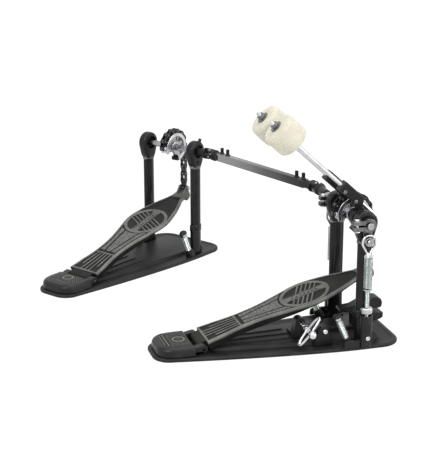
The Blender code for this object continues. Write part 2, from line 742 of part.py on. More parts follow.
def spring_pieces(word, frame, side):
    """Bracket, tension rod, thumb nut, coil and the loop that hangs on the rocker's roller."""
    x = side * SPRING_X
    inner = side * (POST_X + 8.2)
    foot_low = FLANGE_TOP + GAP
    low, high = sorted((inner, side * (SPRING_X + 2.5)))
    tube = rod((x, 0, foot_low + 2), (x, 0, SPRING_FOOT_Z - 1), BRACKET_RADIUS, 18)
    shoe = block((low, -10.5, foot_low), (high, 10.5, foot_low + 9))
    low, high = sorted((side * (SPRING_X - 2), side * (SPRING_X + 2.5)))
    rail = block((low, BRACKET_RAIL_REAR, foot_low), (high, -8.0, foot_low + BRACKET_RAIL_HEIGHT))
    trim = block((side * (POST_X - 2), -30, 0), (inner, 30, 70)) if side > 0 else \
        block((inner, -30, 0), (side * (POST_X - 2), 30, 70))
    bore = rod((x, 0, 24), (x, 0, SPRING_FOOT_Z + 5), 6.4, 14)
    piece(word + "_spring_bracket", frame, "black_casting", [tube, shoe, rail], [bore, trim])
    foot = joint_frame(word + "_spring_tilt", frame, (x, 0, SPRING_FOOT_Z))
    plug = COIL_BOTTOM - SPRING_FOOT_Z
    profile = ((TENSION_ROD_RADIUS, 0), (TENSION_ROD_RADIUS, plug + 18 - PLUG_HEIGHT),
               (COIL_OUTER / 2, plug + 18.6 - PLUG_HEIGHT),
               (COIL_OUTER / 2, plug + 18))
    piece(word + "_tension_rod", foot, "zinc", [turned((0, 0, -18), (0, 0, plug), profile, 14)])
    nut = [(TENSION_ROD_RADIUS + GAP, 1.5), (NUT_RADIUS - 2, 1.5), (NUT_RADIUS, 3), (NUT_RADIUS, 10),
           (NUT_RADIUS - 1.2, 11), (TENSION_ROD_RADIUS + GAP, 11)]
    piece(word + "_tension_nut", foot, "chrome", [turned((0, 0, 0), (0, 0, 20), nut, 14, closed=True)])
    coil_piece(word, foot)
    head = joint_frame(word + "_spring_stretch", foot, (0, 0, COIL_TOP - SPRING_FOOT_Z))
    centre = AXLE_Z - ROCKER_DROP - COIL_TOP
    tail = centre - LOOP_TAIL
    reach = math.degrees(math.acos(LOOP_RADIUS / (LOOP_TAIL - LOOP_PLAY)))
    lower = (0, centre - LOOP_PLAY)
    ring = (arc(lower, LOOP_RADIUS, -90 + reach, 0, 1) + arc((0, centre), LOOP_RADIUS, 0, 180, 8)
            + arc(lower, LOOP_RADIUS, 180, 270 - reach, 1))
    path = [(0, y, z) for y, z in ring] + [(0, -1.5, tail + 1.5), (0, 1.5, tail + 1.5)]
    wire = swept_wire(path, LOOP_WIRE, 5, closed=True)
    profile = ((COIL_OUTER / 2, 0), (COIL_OUTER / 2, PLUG_HEIGHT), (4.2, PLUG_HEIGHT + 2),
               (3.4, PLUG_HEIGHT + 5))
    cup = turned((0, 0, 0), (0, 0, 10), profile, 10)
    piece(word + "_spring_loop", head, "chrome", [cup, wire])


# Universal joints and the drive shaft between the pedals

def yoke_shape(reach):
    """Fork with its pin along local Y at the origin; the barrel leads away along -X for the reach."""
    disc = ((YOKE_BARREL, 0), (YOKE_DISC, 1.2), (YOKE_DISC, 4))
    shapes = [rod((-reach, 0, 0), (-12, 0, 0), YOKE_BARREL, 12),
              turned((-14.5, 0, 0), (-10.5, 0, 0), disc, 12)]
    near, far = YOKE_EAR
    for side in (1, -1):
        outline = arc((0, 0), YOKE_EAR_HALF, -90, 90, 4) + [(-11.5, YOKE_EAR_HALF), (-11.5, -YOKE_EAR_HALF)]
        ends = sorted((side * near, side * far))
        shapes.append(loft([[(u, v, w) for u, w in outline] for v in ends]))
    return shapes, rod((0, -20, 0), (0, 20, 0), CROSS_PIN + 0.3, 8)


def cross_shape():
    """Spider with one pin pair along local Y and the other along local Z."""
    reach = YOKE_EAR[1]
    return [block((-3.4, -3.4, -3.4), (3.4, 3.4, 3.4)),
            rod((0, -reach, 0), (0, reach, 0), CROSS_PIN, 8),
            rod((0, 0, -reach), (0, 0, reach), CROSS_PIN, 8)]


def basis(x_axis, y_axis):
    """Rotation whose X and Y columns are the given directions."""
    x_axis, y_axis = Vector(x_axis).normalized(), Vector(y_axis).normalized()
    z_axis = x_axis.cross(y_axis)
    return Matrix((x_axis, y_axis, z_axis)).transposed().to_4x4()


def shaft_pin(axis, turn):
    """Pin direction across a level shaft, turned about that shaft from the level."""
    level = Vector((0, 0, 1)).cross(axis).normalized()
    return Matrix.Rotation(turn, 3, axis) @ level


def drive_geometry():
    """Joint centres, shaft directions and pin directions of the drive shaft, in the main frame."""
    slave_axis = Vector((math.cos(SLAVE_YAW), math.sin(SLAVE_YAW), 0))
    near = Vector((SLAVE_X, SLAVE_Y, AXLE_Z)) + slave_axis * SLAVE_JOINT_X
    far = Vector((MAIN_JOINT_X, 0, AXLE_Z))
    shaft = (far - near).normalized()
    main_axis = Vector((1, 0, 0))
    slave_pin = shaft_pin(slave_axis, MID_TURN)
    link_pin = shaft.cross(slave_pin).normalized()
    main_pin = link_pin.cross(main_axis).normalized()
    return near, far, shaft, slave_pin, link_pin, main_pin


def drive_pieces():
    near, far, shaft, slave_pin, link_pin, main_pin = drive_geometry()
    length = (far - near).length
    link = joint_frame("link_turn", None, near, basis(shaft, link_pin))
    # Slave end: fork, square tube and its end collar are one welded piece
    fork, hole = yoke_shape(24)
    flip = Matrix.Diagonal((-1, 1, 1, 1))
    fork = [(p, [f[::-1] for f in faces]) for p, faces in (moved(s, flip) for s in fork)]
    bar_end = length - 40
    outline = [(BAR_HALF_Y, BAR_HALF_Z), (-BAR_HALF_Y, BAR_HALF_Z), (-BAR_HALF_Y, -BAR_HALF_Z),
               (BAR_HALF_Y, -BAR_HALF_Z)]
    turn = shaft_roll(shaft, link_pin)
    tube = moved(loft([[(x, *p) for p in outline] for x in (22.0, bar_end)]), turn)
    bore = rod((length / 2, 0, 0), (bar_end + 5, 0, 0), 4.5 + GAP, 16)
    piece("link_tube", link, "black_casting", [tube, *fork], [hole, bore])
    # Main end: fork on a round rod that slides into the tube
    fork, hole = yoke_shape(34)
    shift = Matrix.Translation((length, 0, 0))
    slider = rod((length / 2 + 20, 0, 0), (length - 30, 0, 0), 4.5, 16)
    piece("link_rod", link, "black_casting", [*(moved(s, shift) for s in fork), slider],
          [moved(hole, shift)])
    slave_end = joint_frame("slave_cross_swing", None, near, basis(slave_pin.cross(link_pin), slave_pin))
    piece("slave_cross", slave_end, "steel", cross_shape())
    main_end = joint_frame("main_cross_swing", None, far, basis(main_pin.cross(link_pin), main_pin))
    piece("main_cross", main_end, "steel", cross_shape())
    return slave_pin, main_pin


def shaft_roll(shaft, link_pin):
    """Turn about the link's own axis that sets the square tube upright."""
    up = Vector((0, 0, 1))
    third = shaft.cross(link_pin)
    return Matrix.Rotation(math.atan2(-up.dot(link_pin), up.dot(third)), 4, "X")


def yoke_on(axle_pin, axis, place, barrel):
    """A fork on the end of an axle: local X follows the axis toward the joint."""
    shapes, hole = yoke_shape(barrel)
    turn = Matrix.Translation(Vector((place, 0, 0))) @ basis(axis, axle_pin)
    return [moved(s, turn) for s in shapes], moved(hole, turn)


# Hoop clamp

def hoop_clamp_pieces(frame):
    """Clamp frame with the fixed jaw and pivot ears, the moving jaw, and the wing screw."""
    low = PANEL_TOP + GAP
    gap_low, gap_high = JAW_GAP
    pivot = CLAMP_PIVOT
    lower = slab_x([(8, low), (30, low), (36, 19), (JAW_FRONT - 3, 22), (JAW_FRONT, 25),
                    (JAW_FRONT, gap_low), (35, gap_low), (31, 28), (8, 28)], -14, 14)
    runner = block((-10, SCREW_Y - 10, low), (10, 20, low + 5))
    pillar = slab_x([(SCREW_Y - 10, low), (SCREW_Y + 12, low), (SCREW_Y + 7, SCREW_Z + 7),
                     (SCREW_Y - 7, SCREW_Z + 7)], *PILLAR_X, 1.0)
    ear = hull(circle(5.5, 14, pivot) + [(pivot[0] - 10, 27), (pivot[0] + 10, 27)])
    ears = [slab_x(ear, *sorted((side * (JAW_HALF + GAP), side * 13.6))) for side in (1, -1)]
    pin = rod((-15, *pivot), (15, *pivot), 2.6, 12)
    screw_bore = rod((0, SCREW_Y, SCREW_Z), (60, SCREW_Y, SCREW_Z), 3.0 + GAP, 12)
    piece("hoop_clamp_frame", frame, "black_casting", [lower, runner, pillar, *ears, pin], [screw_bore])
    jaw_turn = joint_frame("hoop_jaw_hinge", frame, (0, *pivot))
    nose = arc((JAW_FRONT - 11, gap_high + 7), 11, -35, 105, 7)
    outline = [(-16, 36.5), (6, 33.5), (30, 35.5), (35, gap_high), (JAW_FRONT - 3, gap_high), *nose,
               (pivot[0], 50), (4, 44), (-16, 42)]
    shape = slab_x([(y - pivot[0], z - pivot[1]) for y, z in outline], -JAW_HALF, JAW_HALF)
    hole = rod((-20, 0, 0), (20, 0, 0), 2.6 + GAP, 12)
    piece("hoop_clamp_jaw", jaw_turn, "black_casting", [shape], [hole])
    screw = joint_frame("wing_screw_turn", frame, (0, SCREW_Y, SCREW_Z))
    stem = turned((12, 0, 0), (80, 0, 0), ((3.0, 0), (3.0, 36), (5.0, 38), (5.0, 41.5)), 14)
    knob = ((4.5, 0), (4.5, 4), (6.0, 7), (6.0, 11), (3.5, 13.5))
    ball = turned((WING_X[1] - 2, 0, 0), (80, 0, 0), knob, 14)
    piece("wing_screw", screw, "chrome", [wing_shape(0.0), stem, ball], [wing_shape(WING_BAND)])


def wing_shape(inset):
    """Long rounded ring that holds the screw's axis, leaning with the wing; the inset gives its eye."""
    radius = (WING_X[1] - WING_X[0]) / 2 - inset
    middle = (WING_X[0] + WING_X[1]) / 2
    reach = WING_HALF - (WING_X[1] - WING_X[0]) / 2
    outline = arc((middle, reach), radius, 0, 180, 5) + arc((middle, -reach), radius, 180, 360, 5)
    half = 2.2 if not inset else 4.0
    ring = loft([[(x, y, z) for x, y in outline] for z in (-half, half)])
    return moved(ring, Matrix.Rotation(WING_LEAN, 4, "X"))


def side_block():
    """Small block on the right edge of the main base, beside the wing screw."""
    outline = [(-72, FLANGE_TOP - 1), (-42, FLANGE_TOP - 1), (-46, 20), (-52, 33), (-62, 33), (-70, 16)]
    return slab_x(outline, *SIDE_BLOCK_X, 1.5)


def main_pedal():
    frame = joint_frame("main_pedal", None)
    pedal_pieces("main", frame, [side_block()])
    hoop_clamp_pieces(frame)
    axle = joint_frame("main_axle_turn", frame, (0, 0, AXLE_Z))
    piece("main_axle", axle, "steel", [rod((-BEATER_X, 0, 0), (76, 0, 0), AXLE_RADIUS, 14)])
    cam_piece("main", axle)
    chain_wrap_piece("main", axle)
    chain_drop_piece("main", axle)
    beater_pieces("right", axle, 1, (BEATER_X - 7, BEATER_X + 7))
    rocker_piece("right", axle, 1)
    spring_pieces("right", frame, 1)
    spring_pieces("left", frame, -1)
    left = joint_frame("left_shaft_turn", frame, (0, 0, AXLE_Z))
    beater_pieces("left", left, -1, (-BEATER_X - 9, -BEATER_X + 8))
    rocker_piece("left", left, -1)
    return left


def slave_pedal():
    frame = joint_frame("slave_pedal", None, (SLAVE_X, SLAVE_Y, 0), Matrix.Rotation(SLAVE_YAW, 4, "Z"))
    pedal_pieces("slave", frame)
    axle = joint_frame("slave_axle_turn", frame, (0, 0, AXLE_Z))
    cam_piece("slave", axle)
    chain_wrap_piece("slave", axle)
    chain_drop_piece("slave", axle)
    return axle


def shafts(slave_axle, left_shaft):
    """The slave's axle and the left beater's shaft, each with its fork for the drive shaft."""
    slave_pin, main_pin = drive_pieces()
    flat_pin = Matrix.Rotation(-SLAVE_YAW, 3, "Z") @ slave_pin
    fork, hole = yoke_on(flat_pin, (1, 0, 0), SLAVE_JOINT_X, 26)
    spindle = rod((-POST_X - 9, 0, 0), (SLAVE_JOINT_X - 20, 0, 0), AXLE_RADIUS, 14)
    piece("slave_axle", slave_axle, "steel", [spindle, *fork], [hole])
    fork, hole = yoke_on(main_pin, (-1, 0, 0), MAIN_JOINT_X, 40)
    spindle = rod((MAIN_JOINT_X + 30, 0, 0), (-BEATER_X - GAP, 0, 0), AXLE_RADIUS, 14)
    piece("left_shaft", left_shaft, "steel", [spindle, *fork], [hole])


clear_scene()
FINISHES = make_materials()
LEFT_SHAFT = main_pedal()
SLAVE_AXLE = slave_pedal()
shafts(SLAVE_AXLE, LEFT_SHAFT)
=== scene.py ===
"""Looks of a double bass drum pedal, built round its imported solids.

Shapes are numpy arrays in millimetres in the main pedal's frame: +Y from heel to toe, +X to its right,
+Z up. The slave pedal's pieces are made in the same frame and carried to their place.
"""
import json
import math

import bmesh
import bpy
import numpy as np
from mathutils import Matrix


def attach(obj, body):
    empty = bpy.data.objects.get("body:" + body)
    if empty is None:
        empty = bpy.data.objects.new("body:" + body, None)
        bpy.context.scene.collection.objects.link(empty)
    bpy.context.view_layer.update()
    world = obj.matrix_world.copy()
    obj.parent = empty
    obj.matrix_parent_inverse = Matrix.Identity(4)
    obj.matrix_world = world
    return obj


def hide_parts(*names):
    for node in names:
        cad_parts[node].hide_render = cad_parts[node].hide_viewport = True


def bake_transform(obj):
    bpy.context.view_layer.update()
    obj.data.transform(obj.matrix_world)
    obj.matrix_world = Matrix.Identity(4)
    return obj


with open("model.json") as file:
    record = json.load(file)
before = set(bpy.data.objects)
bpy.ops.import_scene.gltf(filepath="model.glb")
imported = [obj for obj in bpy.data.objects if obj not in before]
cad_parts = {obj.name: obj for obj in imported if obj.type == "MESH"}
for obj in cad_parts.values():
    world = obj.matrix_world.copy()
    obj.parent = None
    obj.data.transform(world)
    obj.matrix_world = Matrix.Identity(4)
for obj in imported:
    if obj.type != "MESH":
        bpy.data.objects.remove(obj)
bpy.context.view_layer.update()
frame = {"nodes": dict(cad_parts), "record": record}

MM = 0.001
TAU = 2 * math.pi
X_AXIS, Y_AXIS, Z_AXIS = np.eye(3)
SIDES = {"right": 1, "left": -1}

# Places and sizes shared with the solids
AXLE_Z = 190.0
AXLE = AXLE_Z * Z_AXIS
AXLE_RADIUS = 5.0
SEAT_Z = 5.4
POST_X = 54.0
POST_Y = 0.5
CAP_RADIUS = 17.8
HINGE = (0.0, -235.0, 12.5)
SLOPE = math.radians(16.7)
BOARD_TOP = 7.7
BOARD_START = 9.0
BOARD_END = 272.0
BOARD_WIDTHS = ((0, 32), (30, 28.5), (68, 24), (105, 26), (141, 34), (163, 40), (178, 41.5), (192, 40),
                (208, 36), (222, 31.5), (238, 25), (253, 18), (266, 13.5), (300, 10))
WALL_WIDTHS = ((0, 31), (30, 27.9), (68, 23.4), (105, 25.2), (148, 28), (184, 29), (224, 24), (250, 15),
               (272, 11.5), (300, 9.4))
WALL_FEET = ((0, -4.7), (100, -4.6), (148, -5.0), (184, -3.5), (224, -1.5), (272, 0.3), (300, 0.5))
CHAIN_RADIUS = 28.5
CHAIN_X = 4.5
CHAIN_PITCH = 12.7
CHAIN_PIVOT = math.radians(23.7)
CHAIN_BACK = math.radians(195.0)
PLATE_HALF = 4.1
HOOK_Z = 109.0
BEATER_X = 29.0
ROD_LEAN = math.radians(47.4)
ROD_OFFSET = 18.9
ROD_LOW, ROD_HIGH = -22.0, 203.0
FELT_LOW, FELT_LENGTH, FELT_RADIUS = 153.5, 38.0, 25.0
SPRING_X = 71.0
ROCKER_DROP = 24.0
SPRING_FOOT_Z = 55.5
COIL_BOTTOM, COIL_TOP = 95.0, 143.0
SLAVE_AT = (-460.0, -152.0)
SLAVE_YAW = math.radians(34.8)
MAIN_JOINT_X = -138.0
SLAVE_JOINT_X = 90.0
MID_TURN = math.radians(23.7)
SCREW_Y, SCREW_Z = -84.0, 33.5
CLAMP_PIVOT = (20.0, 41.0)
SPUR_X, SPUR_HEAD, SPUR_TIP = 60.0, (-39.0, 47.0), (-18.5, 0.8)
UP = np.array((0.0, -math.sin(ROD_LEAN), math.cos(ROD_LEAN)))
OUT = np.array((0.0, math.cos(ROD_LEAN), math.sin(ROD_LEAN)))
BASE_REACH = (-307.0, 61.0)
BASE_HALF, HEEL_HALF, HEEL_CORNER, TOE_CORNER = 72.0, 39.0, 27.0, 31.0
BASE_WIDEST, BASE_CURVE = -10.0, 1.47
PANEL_INSET, PANEL_REACH, PANEL_TOP = 27.0, (-220.0, 36.0), 9.0
RELIEF, RIM_WIDTH, HEEL_END, TOE_START = 1.7, 4.8, 66.5, 259.0
MEDALLION_S, MEDALLION_RING = 174.0, (32.8, 38.8)

# Gloss of the coats, and the stage
COAT_SPECULAR, HEEL_SPECULAR = 0.22, 0.15
EVEN = (1.0, 1.0, 1.0)
WORLD_LIGHT = 0.42
FLOOR_GLOW, FLOOR_GLOW_SHARE = 1.1, 0.86
LAMP_TARGET = (-0.2, -0.1, 0.1)
LAMPS = (("key", (0.9, -1.6, 1.8), 1.4, 34), ("fill", (1.8, 0.9, 1.1), 1.6, 14),
         ("top", (-0.3, 0.1, 2.2), 1.8, 26), ("edge", (1.1, 1.9, 0.8), 0.5, 16))
CAMERA_AT = (1729.6, -722.4, 756.6)
CAMERA_YAW, CAMERA_PITCH = math.radians(73.34), math.radians(17.86)
FOCAL_PIXELS, PHOTO_WIDTH = 1323.77, 435
SENSOR = 36.0


# Shells: points, with a list of face arrays

def unit(v):
    """Vectors divided by their lengths."""
    v = np.asarray(v, float)
    return v / np.linalg.norm(v, axis=-1, keepdims=True)


def grid_faces(rows, cols, wrap):
    """Quads of a grid whose columns close on themselves, and whose rows do so where wrap is set."""
    r = np.arange(rows if wrap else rows - 1)[:, None]
    c = np.arange(cols)[None, :]
    up, over = (r + 1) % rows, (c + 1) % cols
    corners = (r * cols + c, r * cols + over, up * cols + over, up * cols + c)
    return np.stack(np.broadcast_arrays(*corners), -1).reshape(-1, 4)


def loft(rings, closed=False):
    """Rings of points skinned in order, with a flat face at each end unless closed is set."""
    rings = np.asarray(rings, float)
    rows, cols = rings.shape[:2]
    faces = [grid_faces(rows, cols, closed)]
    if not closed:
        ends = np.arange(cols)[None, :]
        faces += [ends, ends + (rows - 1) * cols]
    return rings.reshape(-1, 3), faces


def directions(axis):
    """The axis and two directions square to it."""
    axis = unit(axis)
    helper = Z_AXIS if abs(axis[2]) < 0.9 else Y_AXIS
    across = unit(np.cross(helper, axis))
    return axis, across, np.cross(axis, across)


def turned(start, axis, profile, sides=40, ripple=None, closed=False):
    """Surface of revolution: radius r at distance t along the axis, plus ripple(angle, t) if given."""
    axis, across, other = directions(axis)
    r, t = np.asarray(profile, float).T
    angle = np.linspace(0, TAU, sides, endpoint=False)
    radius = np.repeat(r[:, None], sides, 1)
    if ripple is not None:
        radius = radius + ripple(angle[None, :], t[:, None])
    ray = np.cos(angle)[:, None] * across + np.sin(angle)[:, None] * other
    rings = np.asarray(start, float) + t[:, None, None] * axis + radius[..., None] * ray[None]
    return loft(rings, closed)


def between(start, end, radius, sides=32):
    """Plain round bar between two points."""
    start, end = np.asarray(start, float), np.asarray(end, float)
    return turned(start, end - start, ((radius, 0), (radius, np.linalg.norm(end - start))), sides)


def tube(path, radius, up, sides=16, closed=False):
    """Round wire along a path: at each point a circle across the path's direction, one axis kept near up."""
    path = np.asarray(path, float)
    if closed:
        along = unit(np.roll(path, -1, 0) - np.roll(path, 1, 0))
    else:
        along = unit(np.gradient(path, axis=0))
    side = unit(np.cross(along, np.asarray(up, float)))
    lift = np.cross(side, along)
    angle = np.linspace(0, TAU, sides, endpoint=False)
    radius = np.broadcast_to(radius, len(path))[:, None, None]
    ray = np.cos(angle)[None, :, None] * side[:, None] + np.sin(angle)[None, :, None] * lift[:, None]
    return loft(path[:, None] + radius * ray, closed)


def arc(centre, radius, start, end, count):
    """Points of an arc, angles in degrees."""
    a = np.radians(np.linspace(start, end, count))
    return np.stack((centre[0] + radius * np.cos(a), centre[1] + radius * np.sin(a)), -1)


def strap(c0, r0, c1, r1, count=14):
    """Outline round two circles and their outer tangents."""
    c0, c1 = np.asarray(c0, float), np.asarray(c1, float)
    gap = c1 - c0
    lead = math.degrees(math.atan2(gap[1], gap[0]))
    open_angle = math.degrees(math.acos((r0 - r1) / np.linalg.norm(gap)))
    far = arc(c1, r1, lead - open_angle, lead + open_angle, count)
    near = arc(c0, r0, lead + open_angle, lead + 360 - open_angle, count)
    return np.concatenate((far, near))


def level(outline, z):
    """An (x, y) outline at a height."""
    return np.column_stack((outline, np.full(len(outline), z)))


def standing(outline, x):
    """A (y, z) outline at a place along X."""
    return np.column_stack((np.full(len(outline), x), outline))


def both_sides(right):
    """An outline's right half, run on through its mirror image in X = 0."""
    return np.concatenate((right, right[::-1] * (-1, 1)))


def along_x(outline, x0, x1):
    """A (y, z) outline carried from x0 to x1."""
    outline = np.asarray(outline, float)
    return loft([standing(outline, x) for x in (x0, x1)])


def rounded_x(outline, x0, x1, edge, bore):
    """As along_x, with quarter-round end edges that draw the outline in toward (0, 0), and a bore there."""
    outline = np.asarray(outline, float)
    reach = np.linalg.norm(outline, axis=1, keepdims=True)
    turn = np.linspace(0, math.pi / 2, 5)
    draw = edge * (1 - np.sin(turn))
    step = edge * (1 - np.cos(turn))
    xs = np.concatenate((x0 + step, x1 - step[::-1]))
    insets = np.concatenate((draw, draw[::-1]))
    rings = [standing(outline * (1 - inset / reach), x) for x, inset in zip(xs, insets)]
    hole = outline * (bore / reach)
    return loft([standing(hole, x0), *rings, standing(hole, x1)], closed=True)


def box(low, high):
    """Block between two corners: a rectangle carried up."""
    low, high = np.asarray(low, float), np.asarray(high, float)
    corners = np.array(((0, 0), (1, 0), (1, 1), (0, 1)), float)
    flat = low[:2] + corners * (high[:2] - low[:2])
    return loft([level(flat, z) for z in (low[2], high[2])])


def at(shell, shift=(0, 0, 0), turn=np.eye(3)):
    """A shell turned about the origin and then shifted."""
    points, faces = shell
    return points @ np.asarray(turn, float).T + np.asarray(shift, float), faces


def moved(shells, shift, turn=np.eye(3)):
    """Shells turned about the origin and then shifted, all alike."""
    return [at(shell, shift, turn) for shell in shells]


def mirrored(shell):
    """A shell seen in the plane X = 0."""
    points, faces = shell
    return points * (-1, 1, 1), faces


def spin(axis, angle):
    """Rotation about a coordinate axis, 0 for X to 2 for Z."""
    c, s = math.cos(angle), math.sin(angle)
    made = np.eye(3)
    j, k = (axis + 1) % 3, (axis + 2) % 3
    made[j, j], made[j, k], made[k, j], made[k, k] = c, -s, s, c
    return made


def facing(x_axis, y_axis):
    """Rotation that carries X and Y to the given directions."""
    x_axis, y_axis = unit(x_axis), unit(y_axis)
    return np.stack((x_axis, y_axis, np.cross(x_axis, y_axis)), -1)


def thread(depth, pitch, start, end):
    """Ripple of a screw: the radius follows a cosine of the distance less the angle, from start to end."""
    def ripple(angle, along):
        return np.where((along > start) & (along < end), depth * np.cos(TAU * along / pitch - angle), 0.0)

    return ripple


def knurl(depth, teeth, start, end):
    """Ripple of straight teeth: the radius follows a cosine of the angle, from start to end."""
    def ripple(angle, along):
        return np.where((along > start) & (along < end), depth * np.cos(angle * teeth), 0.0)

    return ripple


def key_bolt(at_point, axis, size, length):
    """Square-headed tuning bolt on a round flange, standing on a point along an axis."""
    flange = turned((0, 0, 0), X_AXIS, ((2.6, -3), (2.6, 0), (4.4, 0.2), (4.4, 1.6), (3.4, 2.4)), 24)
    head = along_x(((-2.5, -2.5), (2.5, -2.5), (2.5, 2.5), (-2.5, 2.5)), 2.0, length)
    turn = np.stack(directions(axis), -1)
    return [at((points * size, faces), at_point, turn) for points, faces in (flange, head)]


def hex_bolt(at_point, axis, radius, height):
    """Hexagon head with a chamfered crown."""
    flat = arc((0, 0), radius, 0, 300, 6)
    levels = ((0, 1.0), (height * 0.75, 1.0), (height, 0.86))
    head = loft([standing(flat * k, x) for x, k in levels])
    return at(head, at_point, np.stack(directions(axis), -1))


# Materials

class Wire:
    """A shader value; each operator adds one Math node."""

    def __init__(self, tree, socket):
        self.tree, self.socket = tree, socket

    def _math(self, operation, *values):
        return self.tree.node("ShaderNodeMath", {"operation": operation}, dict(enumerate(values)))

    def __add__(self, other):
        return self._math("ADD", self, other)

    def __sub__(self, other):
        return self._math("SUBTRACT", self, other)

    def __rsub__(self, other):
        return self._math("SUBTRACT", other, self)

    def __mul__(self, other):
        return self._math("MULTIPLY", self, other)

    __radd__ = __add__
    __rmul__ = __mul__


class Finish:
    """A node material: node adds any node and returns an output, and surface feeds the shader."""

    def __init__(self, name):
        self.material = bpy.data.materials.new(name)
        self.material.use_nodes = True
        self.nodes = self.material.node_tree.nodes
        self.links = self.material.node_tree.links
        self.shader = self.nodes["Principled BSDF"]

    def put(self, socket, value):
        """Link a wire to a socket, or set a plain value on it."""
        if isinstance(value, Wire):
            self.links.new(value.socket, socket)
        else:
            socket.default_value = value

    def node(self, kind, settings, sockets, out=0):
        """Add a node: its settings, then the values or wires of its sockets; gives one output."""
        made = self.nodes.new(kind)
        for key, value in settings.items():
            setattr(made, key, value)
        for key, value in sockets.items():
            self.put(made.inputs[key], value)
        return Wire(self, made.outputs[out])

    def place(self):
        return self.node("ShaderNodeTexCoord", {}, {}, "Object")

    def noise(self, scale, detail=3.0, stretch=None):
        place = self.place()
        if stretch:
            place = self.node("ShaderNodeMapping", {}, {"Vector": place, "Scale": stretch})
        sockets = {"Vector": place, "Scale": scale, "Detail": detail}
        return self.node("ShaderNodeTexNoise", {}, sockets, "Fac")

    def mask(self, value, low, high):
        """0 below low and 1 above high, with a smooth step between."""
        return self.node("ShaderNodeMapRange", {"interpolation_type": "SMOOTHSTEP"},
                         {"Value": value, "From Min": low, "From Max": high})

    def blend(self, factor, first, second):
        """Colour that goes from the first to the second with the factor."""
        sockets = {"Factor": factor, 6: (*first, 1.0) if isinstance(first, tuple) else first,
                   7: (*second, 1.0) if isinstance(second, tuple) else second}
        return self.node("ShaderNodeMix", {"data_type": "RGBA"}, sockets, 2)

    def bump(self, height, strength, distance):
        sockets = {"Height": height, "Strength": strength, "Distance": distance}
        self.put(self.shader.inputs["Normal"], self.node("ShaderNodeBump", {}, sockets, "Normal"))

    def surface(self, **sockets):
        for key, value in sockets.items():
            self.put(self.shader.inputs[key.replace("_", " ")], value)
        return self.material


def coated_casting(name, dark, light, rough, grain):
    """Satin coat on a casting: broad tone drift, fine orange-peel bump, and rougher patches."""
    made = Finish(name)
    made.shader.inputs["Specular IOR Level"].default_value = COAT_SPECULAR
    drift = made.noise(38.0, 4.0)
    speck = made.noise(grain, 2.0)
    tone = made.blend(made.mask(drift, 0.35, 0.7), dark, light)
    made.bump(speck, 0.18, 0.0004)
    return made.surface(Base_Color=tone, Roughness=rough + (drift - 0.5) * 0.18 + (speck - 0.5) * 0.1,
                        Metallic=0.0)


def bright_metal(name, tone, shade, rough, streak=EVEN, bump=0.06):
    """Plated metal: faint smears in tone and gloss, drawn out along the streak."""
    made = Finish(name)
    smear = made.noise(60.0, 4.0, streak)
    fine = made.noise(900.0, 2.0, streak)
    colour = made.blend(made.mask(smear, 0.35, 0.75), tone, shade)
    made.bump(fine, bump, 0.0002)
    return made.surface(Base_Color=colour, Roughness=rough + (smear - 0.5) * 0.12, Metallic=1.0)


def board_coat():
    """Charcoal casting whose raised lands are rubbed to grey: the raised and panel attributes steer it."""
    made = Finish("board_coat")
    made.shader.inputs["Specular IOR Level"].default_value = COAT_SPECULAR
    raised = made.node("ShaderNodeAttribute", {"attribute_name": "raised"}, {}, "Fac")
    panel = made.node("ShaderNodeAttribute", {"attribute_name": "panel"}, {}, "Fac")
    drift = made.noise(45.0, 4.0)
    grain = made.noise(520.0, 3.0)
    scuff = made.noise(140.0, 5.0, (1.0, 0.35, 1.0))
    worn = made.mask(raised + (scuff - 0.5) * 0.3, 0.5, 0.85)
    land = made.blend(made.mask(drift, 0.3, 0.7), (0.105, 0.105, 0.097), (0.165, 0.165, 0.153))
    face = made.blend(made.mask(grain, 0.4, 0.62), (0.055, 0.055, 0.052), (0.19, 0.19, 0.18))
    land = made.blend(panel, land, face)
    deep = made.blend(made.mask(drift, 0.3, 0.7), (0.006, 0.006, 0.006), (0.012, 0.012, 0.011))
    made.bump(grain * (0.35 + panel * 0.65), 0.25, 0.0006)
    return made.surface(Base_Color=made.blend(worn, deep, land),
                        Roughness=0.62 - worn * 0.14 + (grain - 0.5) * 0.15, Metallic=worn * 0.35)


def heel_coat():
    """Black casting whose raised dots catch a little grey."""
    made = Finish("heel_coat")
    made.shader.inputs["Specular IOR Level"].default_value = HEEL_SPECULAR
    raised = made.node("ShaderNodeAttribute", {"attribute_name": "raised"}, {}, "Fac")
    drift = made.noise(40.0, 4.0)
    grain = made.noise(600.0, 3.0)
    base = made.blend(made.mask(drift, 0.35, 0.7), (0.010, 0.010, 0.010), (0.018, 0.018, 0.017))
    tone = made.blend(made.mask(raised + (grain - 0.5) * 0.5, 0.4, 0.9), base, (0.15, 0.15, 0.145))
    made.bump(grain, 0.2, 0.0004)
    return made.surface(Base_Color=tone, Roughness=0.5 + (drift - 0.5) * 0.2)


def pressed_felt():
    """Cream wool felt: clouded tone, matted fibres in two directions, and a soft nap."""
    made = Finish("pressed_felt")
    cloud = made.noise(55.0, 4.0)
    mat = made.noise(420.0, 6.0, (1.0, 1.6, 0.7))
    fibre = made.noise(1500.0, 3.0, (0.3, 1.0, 1.0))
    tone = made.blend(made.mask(cloud, 0.3, 0.75), (0.61, 0.585, 0.478), (0.53, 0.505, 0.402))
    tone = made.blend(made.mask(mat, 0.52, 0.75) * 0.35, tone, (0.43, 0.40, 0.31))
    made.bump(mat * 0.7 + fibre * 0.3, 0.5, 0.0012)
    made.shader.inputs["Sheen Weight"].default_value = 0.25
    made.shader.inputs["Sheen Roughness"].default_value = 0.5
    return made.surface(Base_Color=tone, Roughness=0.95)


